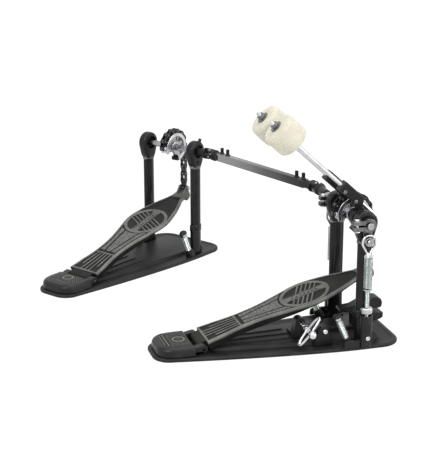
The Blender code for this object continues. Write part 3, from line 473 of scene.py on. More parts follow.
def bar_coat():
    """Drive bar: glossy black, with a painted reflection that greys it toward the slave end and darkens
    toward the main pedal.
    """
    made = Finish("bar_coat")
    split = made.node("ShaderNodeSeparateXYZ", {}, {"Vector": made.place()}, "X")
    drift = made.noise(50.0, 4.0, (0.3, 0.3, 1.0))
    fine = made.noise(700.0, 2.0, (0.2, 0.2, 1.0))
    # Painted reflection: the colour runs from grey at the slave end to black toward the main pedal, standing
    # in for light the glossy face reflects.
    painted_reflection = made.mask(split + (drift - 0.5) * 0.06, -0.36, -0.17)
    tone = made.blend(painted_reflection, (0.26, 0.26, 0.26), (0.028, 0.028, 0.029))
    made.bump(fine, 0.08, 0.0003)
    return made.surface(Base_Color=tone, Roughness=0.36 + (drift - 0.5) * 0.15, Metallic=0.55)


# Coats: dark tone, light tone, roughness and grain
COATS = {
    "casting": ((0.008, 0.008, 0.009), (0.016, 0.016, 0.017), 0.34, 900.0),
    "base": ((0.009, 0.009, 0.009), (0.017, 0.017, 0.017), 0.48, 700.0),
    "post": ((0.006, 0.006, 0.007), (0.012, 0.012, 0.013), 0.24, 1200.0),
    "toe": ((0.085, 0.085, 0.081), (0.14, 0.14, 0.133), 0.42, 800.0),
    "rubber": ((0.012, 0.012, 0.012), (0.018, 0.018, 0.018), 0.8, 1500.0),
}
# Metals: tone, shade and roughness, with a streak and a bump where they differ from the usual
METALS = {
    "gunmetal": ((0.20, 0.20, 0.205), (0.075, 0.075, 0.078), 0.27),
    "chrome": ((0.66, 0.66, 0.68), (0.46, 0.46, 0.48), 0.12, EVEN, 0.02),
    "zinc": ((0.50, 0.54, 0.52), (0.34, 0.38, 0.36), 0.26, (1.0, 1.0, 0.3)),
    "cast_silver": ((0.62, 0.62, 0.63), (0.40, 0.40, 0.42), 0.22),
    "steel": ((0.42, 0.42, 0.43), (0.24, 0.24, 0.25), 0.26, (1.0, 0.4, 1.0)),
    "chain": ((0.050, 0.050, 0.052), (0.020, 0.020, 0.021), 0.32),
    "chain_pin": ((0.12, 0.12, 0.12), (0.05, 0.05, 0.05), 0.25),
}
FINISHES = {"board": board_coat(), "heel": heel_coat(), "felt": pressed_felt(), "bar": bar_coat()}
FINISHES.update({name: coated_casting(name, *row) for name, row in COATS.items()})
FINISHES.update({name: bright_metal(name, *row) for name, row in METALS.items()})
# Finish of each CAD node that still shows
NODE_FINISHES = {
    "black_casting": "casting", "base_black": "base", "board_grey": "toe", "cast_silver": "cast_silver",
    "chrome": "chrome", "zinc": "zinc", "steel": "steel", "dark_chain": "chain", "felt": "felt",
}

TO_MAIN = (np.eye(3), np.zeros(3))
TO_SLAVE = (spin(2, SLAVE_YAW), np.array((*SLAVE_AT, 0.0)))


def build(name, body, finish, shells, place=TO_MAIN, bevel=0.0, sharp=32.0, stands_for=(), masks=None):
    """One piece from shells: placed, faced outwards, smoothed up to the sharp angle, and bevelled."""
    points, faces, count = [], [], 0
    for p, arrays in shells:
        points.append(p)
        for f in arrays:
            faces += (f + count).tolist()
        count += len(p)
    turn, shift = place
    points = (np.concatenate(points) @ turn.T + shift) * MM
    mesh = bpy.data.meshes.new(name)
    mesh.from_pydata(points.tolist(), [], faces)
    work = bmesh.new()
    work.from_mesh(mesh)
    bmesh.ops.recalc_face_normals(work, faces=work.faces)
    work.to_mesh(mesh)
    work.free()
    for key, values in (masks or {}).items():
        full = np.zeros(len(points), np.float32)
        full[:len(values)] = values
        mesh.attributes.new(key, "FLOAT", "POINT").data.foreach_set("value", full)
    mesh.shade_smooth()
    mesh.set_sharp_from_angle(angle=math.radians(sharp))
    mesh.materials.append(FINISHES[finish])
    made = bpy.data.objects.new(name, mesh)
    bpy.context.scene.collection.objects.link(made)
    if bevel:
        rounding = made.modifiers.new("edges", "BEVEL")
        rounding.width = bevel * MM
        rounding.segments = 2
        rounding.limit_method = "ANGLE"
        rounding.angle_limit = math.radians(35)
    if body:
        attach(made, body)
    if stands_for:
        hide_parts(*stands_for)
    return made


def curve_at(table, s):
    """Smooth cubic curve through (place, value) knots, with slopes from the knots on each side."""
    x, v = np.asarray(table, float).T
    slope = np.empty_like(v)
    slope[1:-1] = (v[2:] - v[:-2]) / (x[2:] - x[:-2])
    slope[0], slope[-1] = (v[1] - v[0]) / (x[1] - x[0]), (v[-1] - v[-2]) / (x[-1] - x[-2])
    k = np.clip(np.searchsorted(x, s, side="right") - 1, 0, len(x) - 2)
    rise = x[k + 1] - x[k]
    t = (s - x[k]) / rise
    return ((2 * t ** 3 - 3 * t ** 2 + 1) * v[k] + (t ** 3 - 2 * t ** 2 + t) * rise * slope[k]
            + (3 * t ** 2 - 2 * t ** 3) * v[k + 1] + (t ** 3 - t ** 2) * rise * slope[k + 1])


# Base plate

def base_ring(inset, rear, front, z):
    """Plan outline: heel arcs, sides that swell by a power curve, and toe arcs, drawn in by the inset."""
    def half_width(y):
        run = np.clip((BASE_WIDEST - y) / (BASE_WIDEST - BASE_REACH[0] - HEEL_CORNER), 0, None)
        return BASE_HALF - (BASE_HALF - HEEL_HALF) * run ** BASE_CURVE - inset

    heel = min(max(HEEL_CORNER - inset, 6.0), float(half_width(rear + HEEL_CORNER)) - 4.0)
    toe = max(TOE_CORNER - inset, 8.0)
    rear_half, front_half = float(half_width(rear + heel)), float(half_width(front - toe))
    side_y = np.linspace(rear + heel, front - toe, 42)[1:-1]
    right = np.concatenate((arc((rear_half - heel, rear + heel), heel, -90, 0, 14),
                            np.stack((half_width(side_y), side_y), -1),
                            arc((front_half - toe, front - toe), toe, 0, 90, 14)))
    return level(both_sides(right), z)


def spur_line(side):
    """Head, direction and length of a spur."""
    head, tip = (np.array((side * SPUR_X, *end)) for end in (SPUR_HEAD, SPUR_TIP))
    return head, unit(tip - head), np.linalg.norm(tip - head)


def base_plate(p, place):
    """Plate: plan rings up a rounded rim and in to a raised panel, two spur bosses, three ribs."""
    rear, front = BASE_REACH
    rim = ((0.0, 1.2), (0.5, 0.3), (1.2, 0.0), (3.4, 0.0), (4.4, 0.5), (5.0, 1.7), (5.2, 3.0), (5.2, 6.0),
           (4.9, 7.2), (4.3, 8.4), (4.0, 10.0))
    rings = [base_ring(inset, rear + inset, front - inset, z) for z, inset in rim]
    rear, front = PANEL_REACH
    for z, inset in ((4.2, -1.0), (5.4, 0.0), (7.4, 1.2), (8.7, 2.2), (PANEL_TOP, 3.4)):
        rings.append(base_ring(PANEL_INSET + inset, rear + inset, front - inset, z))
    shells = [loft(rings)]
    for side in SIDES.values():
        head, axis, full = spur_line(side)
        boss = ((5.3, 0), (6.4, 0.2), (6.9, 1.2), (7.2, 6), (8.4, 13))
        shells.append(turned(head + axis * (full - 19), axis, boss, 32))
    for x, y0 in ((0, -205), (15, -190), (-15, -190)):
        shells.append(rib((x, y0), (x * 1.25, -96), PANEL_TOP, 2.6, 1.6))
    build(f"{p}_base_plate", "stand", "base", shells, place, sharp=40, stands_for=(f"{p}_base",))


def rib(start, end, z, half, height):
    """Low stiffening rib with a half-round back and round ends, as an ellipse carried along a line."""
    t = np.linspace(0, 1, 26)
    swell = np.sqrt(np.clip(1 - np.abs(2 * t - 1) ** 14, 0.004, 1))
    start, end = np.asarray(start, float), np.asarray(end, float)
    middle = start + t[:, None] * (end - start)
    across = unit(np.array((end[1] - start[1], start[0] - end[0])))
    a = np.linspace(0, TAU, 20, endpoint=False)
    flat = middle[:, None] + (half * np.cos(a))[None, :, None] * across * swell[:, None, None]
    up = z + (height * np.sin(a))[None, :] * swell[:, None]
    return loft(np.concatenate((flat, up[..., None]), -1))


# Heel block

def heel_block(p, place):
    """Heel casting: plan rings that round over at the top, with a land of small dots, and two hinge ears."""
    rear, front = BASE_REACH[0] + 5.5, -248.0
    levels = [(SEAT_Z, 3.4, 0.6), (6.2, 2.5, 0.0), (12.5, 3.1, 0.5)]
    for a in np.linspace(0, math.pi / 2, 7)[1:]:
        over = 1 - math.cos(a)
        levels.append((12.5 + 6.5 * math.sin(a), 3.1 + 7.0 * over, 0.5 + 8.5 * over))
    rings = []
    for z, inset, draw in levels:
        half, corner = HEEL_HALF - inset, HEEL_CORNER - inset
        right = np.concatenate((arc((half - corner, rear + draw + corner), corner, -90, 0, 20),
                                ((half + 0.8, (rear + front) / 2), (half + 1.4, front - draw * 0.3))))
        rings.append(level(both_sides(right), z))
    shells = [loft(rings)]
    for side in SIDES.values():
        x0, x1 = sorted((side * 21.7, side * 33.0))
        shells.append(along_x(strap(HINGE[1:], 6.3, (front - 4, 10.5), 5.0), x0, x1))
        shells.append(box((x0, front - 2, SEAT_Z), (x1, HINGE[1], 10)))
    build(f"{p}_heel_casting", "stand", "casting", shells, place, bevel=0.8, stands_for=(f"{p}_heel_block",))
    pad, masks = heel_pad()
    build(f"{p}_heel_pad", "stand", "heel", [pad], place, masks=masks, sharp=60)
    for word, side in SIDES.items():
        head = ((3.6, -1), (3.6, 0.5), (3.0, 0.9), (2.0, 0.9), (1.7, -0.6))
        socket = turned((side * 32.9, *HINGE[1:]), side * X_AXIS, head, 28)
        build(f"{p}_hinge_screw_{word}", "stand", "rubber", [socket], place)


def heel_pad():
    """Relief on the heel's top: cross grooves at the back, then rows of dots round a plain ring."""
    rear, front, grooves_end, middle = -290.5, -250.5, -279.0, -264.5
    dot_pitch, groove_pitch, ring_radius = 4.4, 5.2, 8.5
    y = np.linspace(rear, front, 150)
    half = np.minimum(27.5, np.sqrt(np.clip(27.0 ** 2 - np.clip(-270.0 - y, 0, None) ** 2, 1, None)))
    t = np.linspace(-1, 1, 171)
    x = t[None, :] * half[:, None]
    yy = np.repeat(y[:, None], len(t), 1)
    dots = soft_step(np.cos(x * TAU / dot_pitch) * np.cos((yy + 250) * TAU / dot_pitch), 0.2, 0.6)
    groove = soft_step(np.cos((yy + 289) * TAU / groove_pitch), 0.2, 0.8)
    ring = np.abs(np.hypot(x, yy - middle) - ring_radius)
    land = np.where(yy < grooves_end, groove, dots)
    land = np.where((ring < 3.2) & (yy > grooves_end), soft_step(2.0 - ring, 0.0, 0.8), land)
    edge = np.minimum(half[:, None] - np.abs(x), np.minimum(yy - rear, front - yy))
    land = land * soft_step(edge, 0.8, 1.6)
    z = 18.75 + 0.35 * soft_step(edge, 0.0, 0.8) + 0.65 * land
    top = np.stack((x, yy, z), -1)
    low = np.stack((x[:, ::-1], yy, np.full_like(x, 18.4)), -1)[:, ::85]
    rings = np.concatenate((top, low), 1)
    raised = np.concatenate((land, np.zeros(low.shape[:2])), 1)
    return loft(rings), {"raised": raised.ravel()}


def soft_step(value, low, high):
    """Smooth step from 0 at low to 1 at high."""
    t = np.clip((value - low) / (high - low), 0, 1)
    return t * t * (3 - 2 * t)


# Footboard

def inside(distance):
    """1 inside an edge and 0 outside it, over a narrow draft, from the signed distance to it."""
    return soft_step(distance, -0.35, 0.35)


def board_lands(s, x, half):
    """Raised lands of the footboard, as a mask: rim, heel ribs, mid panels, ring with bars, and toe."""
    edge = half - np.abs(x)
    rim = inside(RIM_WIDTH - edge)
    heel = inside(HEEL_END - s)
    bars = np.maximum(inside(12.5 - s), inside(s - HEEL_END + 3.0) * heel)
    ribs = np.zeros_like(s)
    for place, start in ((-0.56, 25.0), (-0.28, 0.0), (0.0, 0.0), (0.28, 0.0), (0.56, 25.0)):
        ribs = np.maximum(ribs, inside(1.2 - np.abs(x - place * half)) * inside(s - start))
    heel_land = heel * np.maximum(bars, ribs)
    wedge = 4.2 + (s - 70) * 0.15
    panel = np.maximum(inside(wedge - np.abs(x)), inside(np.abs(x) - wedge - 2.9) * inside(edge - 7.2))
    along = s - MEDALLION_S
    radius = np.hypot(along, x)
    panel = panel * inside(s - 71.5) * inside(radius - MEDALLION_RING[1] - 2.2) * inside(MEDALLION_S - 4 - s)
    ring = inside(MEDALLION_RING[1] - radius) * inside(radius - MEDALLION_RING[0])
    slant = (along + 0.5 * x) * 0.894
    rods = inside(1.35 - np.abs((slant + 3.4) % 6.8 - 3.4)) * inside(17.8 - np.abs(slant))
    band = inside(7.6 - np.abs(x))
    lines = inside(0.7 - np.abs(np.abs(x) - 5.6)) * inside(27.0 - np.abs(along))
    beads = inside(1.7 - np.hypot((along + 3.2) % 6.4 - 3.2, x)) * inside(22.0 - np.abs(along))
    grille = np.maximum(rods * (1 - band), band * (1 - np.maximum(lines, beads)))
    grille = grille * inside(MEDALLION_RING[0] + 0.5 - radius)
    toe = inside(s - TOE_START)
    land = np.maximum.reduce((rim, heel_land, panel, ring, grille, toe))
    return land, np.maximum(panel, band * inside(MEDALLION_RING[0] - radius) * 0.7)


def footboard(p, place):
    """Plate with relief over two side walls: each cross ring runs over the top, round the edge and inside."""
    s = np.linspace(BOARD_START, BOARD_END, 351)
    t = np.sin(np.linspace(-math.pi / 2, math.pi / 2, 131) * 0.9) / math.sin(math.pi * 0.45)
    half, wall, foot = (curve_at(table, s) for table in (BOARD_WIDTHS, WALL_WIDTHS, WALL_FEET))
    x = t[None, :] * half[:, None]
    ss = np.repeat(s[:, None], len(t), 1)
    land, panel = board_lands(ss, x, half[:, None])
    edge = np.clip((half[:, None] - np.abs(x)) / 3.4, 0, 1)
    shoulder = 2.4 * (1 - np.sqrt(np.clip(1 - (1 - edge) ** 2, 0, 1)))
    top = np.stack((x, ss, BOARD_TOP + 0.3 - RELIEF * (1 - land) - shoulder), -1)
    lip = BOARD_TOP - 5.0
    edges = ((half, lip + 0.8), (half - 0.8, lip), (wall + 0.6, lip), (wall, lip - 0.6), (wall, foot + 0.7),
             (wall - 0.7, foot), (wall - 2.5, foot), (wall - 3.2, foot + 0.7), (wall - 3.2, BOARD_TOP - 4.0))
    right = [np.stack((width, s, np.broadcast_to(height, s.shape)), -1) for width, height in edges]
    under = np.stack([*right, *(c * (-1, 1, 1) for c in right[::-1])], 1)
    rings = np.concatenate((top, under), 1)
    grey = np.zeros(under.shape[:2])
    grey[:, :3] = grey[:, -3:] = 0.55
    masks = {"raised": np.concatenate((land, grey), 1).ravel(),
             "panel": np.concatenate((panel, np.zeros_like(grey)), 1).ravel()}
    knuckle = along_x(strap((0, 0), 6.3, (12.0, 3.2), 4.2), -21.3, 21.3)
    tilt = spin(0, SLOPE)
    shells = moved((loft(rings), knuckle), HINGE, tilt)
    build(f"{p}_board", f"{p}_board", "board", shells, place, masks=masks, sharp=50,
          stands_for=(f"{p}_footboard",))
    toe_block(p, place, tilt)


def toe_block(p, place, tilt):
    """Toe casting: a fork with a cross pin for the chain, over the chin that closes the board's end."""
    pin_y, pin_z = CHAIN_RADIUS - HINGE[1], HOOK_Z - HINGE[2]
    cosine, sine = math.cos(SLOPE), math.sin(SLOPE)
    pin = np.array((pin_y * cosine + pin_z * sine, pin_z * cosine - pin_y * sine))
    foot, front = BOARD_TOP + 0.35, pin[0] + 3
    low = float(curve_at(WALL_FEET, np.array(BOARD_END))) - 5
    chin_edge = np.concatenate((((BOARD_END + 0.3, low), (BOARD_END + 0.3, foot + 2.0)),
                                arc((front - 5, foot - 1), 5, 60, 0, 7),
                                arc((front - 7, low + 8), 7, 0, -75, 8)))
    shells = [along_x(chin_edge, -9.4, CHAIN_X + 8.6),
              box((-9.5, BOARD_END - 12, foot), (CHAIN_X + 8.7, front - 3.0, foot + 2.0))]
    for side in SIDES.values():
        x0, x1 = sorted((CHAIN_X + side * 5.7, CHAIN_X + side * 8.7))
        shells.append(along_x(strap(pin, 5.0, (BOARD_END - 2.0, foot - 1.5), 7.5), x0, x1))
    body = f"{p}_board"
    build(f"{p}_toe_block", body, "toe", moved(shells, HINGE, tilt), place, bevel=1.1,
          stands_for=(f"{p}_chain_hook",))
    bolt = [turned((CHAIN_X - 9.6, *pin), X_AXIS, ((2.0, 0), (2.0, 19.2)), 24)]
    bolt += [hex_bolt((CHAIN_X + side * 8.6, *pin), side * X_AXIS, 3.6, 2.6) for side in SIDES.values()]
    build(f"{p}_toe_pin", body, "steel", moved(bolt, HINGE, tilt), place)


# Posts, bearing caps and spurs

def oval(side, half_x, half_y, angle, z):
    """Ring of a post: an ellipse round its middle, whose half widths may change with the angle."""
    return np.stack((side * POST_X + half_x * np.cos(angle), POST_Y + half_y * np.sin(angle),
                     np.full_like(angle, z)), -1)


def post(p, place, word, side):
    """Oval post: fluted ovals carried up through a flared foot, a socket and a height collar."""
    levels = ((SEAT_Z, 7.6, 14.2, 0), (6.4, 7.9, 14.7, 0), (9.0, 7.8, 14.3, 0), (12.5, 7.6, 12.1, 0),
              (16, 7.5, 11.7, 0), (44.8, 7.5, 11.6, 0), (45.6, 7.6, 12.4, 0), (46.4, 7.8, 13.0, 0),
              (55.6, 7.8, 13.0, 0), (56.4, 7.6, 12.5, 0), (57.0, 7.4, 10.9, 0.2), (58.5, 7.4, 10.9, 0.75),
              (158.5, 7.4, 10.9, 0.75), (160.2, 7.3, 10.6, 0.3))
    a = np.linspace(0, TAU, 96, endpoint=False)
    dent = np.exp(-((np.abs(a % math.pi - math.pi / 2) - 0.92) / 0.16) ** 2)
    rings = [oval(side, hx - flute * dent, hy - flute * dent, a, z) for z, hx, hy, flute in levels]
    build(f"{p}_{word}_post_shell", "stand", "post", [loft(rings)], place, sharp=45,
          stands_for=(f"{p}_post_{word}",))
    bolts = key_bolt((side * (POST_X + 7.0), POST_Y - 5.5, 51), (side, -0.35, 0), 0.62, 6.0)
    build(f"{p}_{word}_collar_bolt", "stand", "casting", bolts, place, bevel=0.25)


def bearing_cap(p, place, word, side):
    """Egg-shaped housing with rounded faces, its bearing, and the clamp skirt that grips the post."""
    a = np.linspace(0, TAU, 96, endpoint=False)
    drop = np.clip(-np.sin(a), 0, 1) ** 3
    radius = CAP_RADIUS + 13.4 * drop * np.clip(1.25 - np.abs(np.cos(a)), 0, 1)
    outline = np.stack((np.clip(radius * np.cos(a), -CAP_RADIUS, CAP_RADIUS),
                        np.maximum(radius * np.sin(a), -29.6)), -1)
    shell = rounded_x(outline, -8.0, 8.0, 4.2, 11.3)
    middle = (side * POST_X, 0, AXLE_Z)
    build(f"{p}_{word}_cap_shell", "stand", "casting", [at(shell, middle)], place, sharp=40,
          stands_for=(f"{p}_cap_{word}",))
    outer = ((8.8, 0), (11.0, 0), (11.0, 7.2), (8.8, 7.2), (8.6, 6.7), (8.6, 0.5))
    shield = ((6.6, 0), (8.7, 0), (8.7, 6.0), (6.6, 6.0))
    inner = ((5.2, 0), (6.8, 0), (6.8, 7.2), (5.2, 7.2))
    rings = [turned((start, 0, 0), X_AXIS, profile, 48, closed=True)
             for start, profile in ((-3.6, outer), (-3.0, shield), (-3.6, inner))]
    build(f"{p}_{word}_bearing_rings", "stand", "rubber", moved(rings, middle), place,
          stands_for=(f"{p}_bearing_{word}",))
    lip = ((159.6, 7.7, 11.6), (160.4, 8.2, 12.2), (163.0, 8.2, 12.2), (164.5, 7.6, 11.6))
    collar = loft([oval(side, hx, hy, a, z) for z, hx, hy in lip])
    build(f"{p}_{word}_cap_lip", "stand", "gunmetal", [collar], place)
    bolts = []
    if (p, word) == ("slave", "right"):
        bolts += key_bolt((side * POST_X + 3.0, 8.0, AXLE_Z + 14.6), (0.1, 0.4, 1), 0.8, 8.0)
    bolts.append(hex_bolt((side * (POST_X + 7.6), 0.0, AXLE_Z - 20.5), side * X_AXIS, 3.6, 2.4))
    build(f"{p}_{word}_cap_bolts", "stand", "casting", bolts, place, bevel=0.25)


def spur(p, place, word, side):
    """Threaded spur: the radius follows a helix tooth along its length; dark domed head and pointed tip."""
    head, axis, full = spur_line(side)
    body = f"{p}_{word}_spur"
    profile = [(4.0, 0.0), (4.4, 0.4), *((4.4, v) for v in np.linspace(1.5, full - 8, 220)),
               (1.1, full - 0.4), (0.5, full)]
    stem = turned(head, axis, profile, 28, thread(0.42, 2.0, 2.5, full - 8.5))
    collar = turned(head, axis, ((3.0, -4.5), (6.2, -4.4), (6.3, -1.0), (5.4, 0.6), (3.0, 0.8)), 36)
    build(f"{p}_{word}_spur_thread", body, "zinc", [stem, collar], place, sharp=60,
          stands_for=(f"{p}_spur_{word}",))
    dome = ((0.6, -8.3), (3.6, -8.1), (5.6, -7.2), (6.5, -5.8), (6.5, -4.6), (5.8, -4.2), (2.0, -4.0))
    knob = turned(head, axis, dome, 36, knurl(0.16, 18, -7, 0))
    build(f"{p}_{word}_spur_knob", body, "casting", [knob], place, sharp=60)


# Cam and chain

def cam(p, place):
    """Cast cam: a sector rim with flanges, a hub, spokes between them and a stop pad at the low end."""
    def sector(inner, outer, x0, x1, start=-75.0, end=200.0, count=64):
        ring = np.concatenate((arc((0, 0), outer, start, end, count), arc((0, 0), inner, end, start, count)))
        return along_x(ring, x0, x1)

    rims = [sector(20.2, 23.7, -2.0, 12.5), sector(19.6, 25.4, 10.6, 12.9), sector(19.6, 24.6, -2.4, -0.9)]
    hub_line = ((5.3, 0), (10.6, 0), (11.5, 1.0), (11.5, 7.5), (10.2, 9), (10.2, 20), (11.4, 21),
                (11.4, 22.6), (10.6, 23.2), (5.3, 23.2))
    webs = [turned((-10.0, 0, 0), X_AXIS, hub_line, 56, closed=True)]
    thick, thin = (3.6, 0, 11), (1.4, 3, 9)
    for turn, (half, x0, x1) in ((-62, thick), (22, thick), (62, thin), (102, thick), (182, thick)):
        spoke = along_x(((9.0, -half), (21.5, -half), (21.5, half), (9.0, half)), x0, x1)
        webs.append(at(spoke, turn=spin(0, math.radians(turn))))
    body = f"{p}_axle_set"
    build(f"{p}_cam_rim", body, "cast_silver", moved(rims, AXLE), place, bevel=0.5, stands_for=(f"{p}_cam",))
    build(f"{p}_cam_web", body, "steel", moved(webs, AXLE), place, bevel=0.5)
    pad = [sector(19.0, 25.0, -1.4, 12.0, -84, -75.5, 8)]
    build(f"{p}_cam_pad", body, "rubber", moved(pad, AXLE), place, bevel=0.6)
    lug = [along_x(strap((-24.5, 0.5), 4.2, (-13.0, -4.0), 3.4), 0.5, 8.5),
           hex_bolt((8.4, -24.5, 0.5), X_AXIS, 3.0, 2.2)]
    build(f"{p}_chain_anchor", body, "cast_silver", moved(lug, AXLE), place, bevel=0.5)


def chain_links(pins, first_outer):
    """Roller chain along (y, z) pins: figure-of-eight plates, inside and outside by turns, and rollers."""
    plates, rollers = [], []
    for k, (a, b) in enumerate(zip(pins[:-1], pins[1:])):
        inner_face = 3.75 if (k % 2 == 0) == first_outer else 2.5
        gap = b - a
        length = np.linalg.norm(gap)
        u = np.linspace(0, length, 9)
        half = PLATE_HALF - 0.7 * np.sin(math.pi * u / length) ** 2
        side = np.array((-gap[1], gap[0])) / length
        lead = math.degrees(math.atan2(gap[1], gap[0]))
        run = a + u[:, None] * gap / length
        outline = np.concatenate((arc(b, PLATE_HALF, lead - 78, lead + 78, 8),
                                  (run + half[:, None] * side)[-2:0:-1],
                                  arc(a, PLATE_HALF, lead + 102, lead + 258, 8),
                                  (run - half[:, None] * side)[1:-1]))
        for face in SIDES.values():
            x0, x1 = sorted((face * inner_face, face * (inner_face + 1.0)))
            plates.append(along_x(outline, CHAIN_X + x0, CHAIN_X + x1))
    roller = ((3.4, 0), (3.9, 0.4), (3.9, 4.4), (3.4, 4.8))
    rivet = ((1.4, 0), (1.8, 0.4), (1.8, 10.0), (1.4, 10.4))
    for y, z in pins:
        rollers.append(turned((CHAIN_X - 2.4, y, z), X_AXIS, roller, 20))
        rollers.append(turned((CHAIN_X - 5.2, y, z), X_AXIS, rivet, 14))
    return plates, rollers


def chain(p, place):
    """The chain in two runs: round the cam by equal angles, and from the pivot pin down to the hook."""
    k = np.arange(int((CHAIN_BACK - CHAIN_PIVOT) * CHAIN_RADIUS / CHAIN_PITCH) + 1)
    angle = CHAIN_PIVOT + k * CHAIN_PITCH / CHAIN_RADIUS
    wrap = np.stack((CHAIN_RADIUS * np.cos(angle), AXLE_Z + CHAIN_RADIUS * np.sin(angle)), -1)
    full = CHAIN_PIVOT * CHAIN_RADIUS + AXLE_Z - HOOK_Z
    run = np.linspace(0, full, round(full / CHAIN_PITCH) + 1)
    angle = np.clip(CHAIN_PIVOT - run / CHAIN_RADIUS, 0, None)
    below = np.clip(run - CHAIN_PIVOT * CHAIN_RADIUS, 0, None)
    drop = np.stack((CHAIN_RADIUS * np.cos(angle), AXLE_Z + CHAIN_RADIUS * np.sin(angle) - below), -1)
    for word, body, pins, outer in (("wrap", f"{p}_axle_set", wrap, True),
                                    ("drop", f"{p}_chain", drop, False)):
        plates, rollers = chain_links(pins, outer)
        build(f"{p}_chain_{word}_plates", body, "chain", plates, place, sharp=50,
              stands_for=(f"{p}_chain_{word}",))
        build(f"{p}_chain_{word}_rollers", body, "chain_pin", rollers, place, sharp=50)


# Beaters, axles and rockers

def rod_point(x, along, out=0.0):
    """Point by the beater rod: at a distance up it, and out from its axis."""
    return np.array((x, 0, AXLE_Z)) + OUT * (ROD_OFFSET + out) + UP * along


def beater(word, side, axle_body, hub_x):
    """Chrome rod with washers and a hexagon nut, felt head, and the hub that clamps the rod to the axle."""
    x, body = side * BEATER_X, f"{word}_beater"
    low, full = rod_point(x, ROD_LOW), ROD_HIGH - ROD_LOW
    seat, top = FELT_LOW - ROD_LOW, FELT_LOW + FELT_LENGTH - ROD_LOW
    stem = turned(low, UP, ((2.2, 0), (3.0, 0.8), (3.0, full - 1.2), (2.2, full)), 36)
    shoulder = turned(low, UP, ((3.0, seat - 5), (4.6, seat - 4.8), (7.0, seat - 2.0), (7.0, seat - 0.4),
                                (3.0, seat - 0.3)), 40)
    build(f"{word}_beater_stem", body, "chrome", [stem, shoulder], sharp=40,
          stands_for=(f"{word}_beater_rod",))
    washer = turned(low, UP, ((3.0, top - 0.3), (8.6, top - 0.2), (9.0, top + 0.3), (9.0, top + 1.1),
                              (8.4, top + 1.5), (3.0, top + 1.6)), 40)
    nut = hex_bolt(rod_point(x, ROD_LOW + top + 1.5), UP, 6.2, 5.2)
    build(f"{word}_beater_nut", body, "gunmetal", [washer, nut], sharp=40)
    felt_head(word, side, body)
    hub(word, side, axle_body, hub_x)


def felt_head(word, side, body):
    """Felt drum: a profile with quarter-round edges turned about the rod, swelled by waves of matting."""
    turn = np.linspace(0, math.pi / 2, 12)
    edge = 6.5
    low = np.stack((FELT_RADIUS - edge + edge * np.sin(turn), edge - edge * np.cos(turn)), -1)
    wall = np.linspace(edge, FELT_LENGTH - edge, 16)[1:-1]
    profile = np.concatenate((((3.2, 0.6), (10.0, 0.1)), low,
                              np.stack((np.full_like(wall, FELT_RADIUS + 0.15), wall), -1),
                              low[::-1] * (1, -1) + (0, FELT_LENGTH),
                              ((10.0, FELT_LENGTH - 0.1), (3.2, FELT_LENGTH - 0.6))))

    def matted(angle, along):
        swell = np.sin(angle * 3 + along * 0.11 + side) + np.sin(angle * 7 - along * 0.31) * 0.6
        return 0.16 * (swell + np.sin(angle * 23 + along * 0.9) * 0.35)

    felt = turned(rod_point(side * BEATER_X, FELT_LOW), UP, profile, 120, matted)
    made = build(f"{word}_felt_head", body, "felt", [felt], sharp=180, stands_for=(f"{word}_felt",))


def hub(word, side, body, hub_x):
    """Hub casting: a collar on the axle run into a square clamp on the rod, with tuning bolts on its face."""
    x0, x1 = hub_x

    def beside_rod(corners):
        return np.array([rod_point(0, along, out)[1:] - AXLE[1:] for along, out in corners])

    block = beside_rod(((16.0, -8.0), (56.0, -8.0), (56.0, 8.0), (16.0, 8.0)))
    neck = beside_rod(((-9.0, -11.0), (22.0, -11.0), (22.0, 7.0), (15.0, 7.0), (9.0, -3.4), (-9.0, -4.0)))
    shells = [rounded_x(arc((0, 0), 13.5, 0, 354, 60), x0, x1, 1.6, 5.4), along_x(block, x0, x1),
              along_x(neck, x0 + 1, x1 - 1)]
    build(f"{word}_hub_casting", body, "casting", moved(shells, AXLE), bevel=1.4,
          stands_for=(f"{word}_hub",))
    face = x1 - 0.2 if side > 0 else x0 + 0.2
    bolts = [hex_bolt((face, *rod_point(0, along, -4.5)[1:]), side * X_AXIS, 3.2, 2.2) for along in (24, 47)]
    bolts += key_bolt((side * BEATER_X, 0, AXLE_Z) - OUT * 12.6 - UP * 2, -OUT, 0.9, 8.5)
    build(f"{word}_hub_bolts", body, "gunmetal", bolts, bevel=0.3)


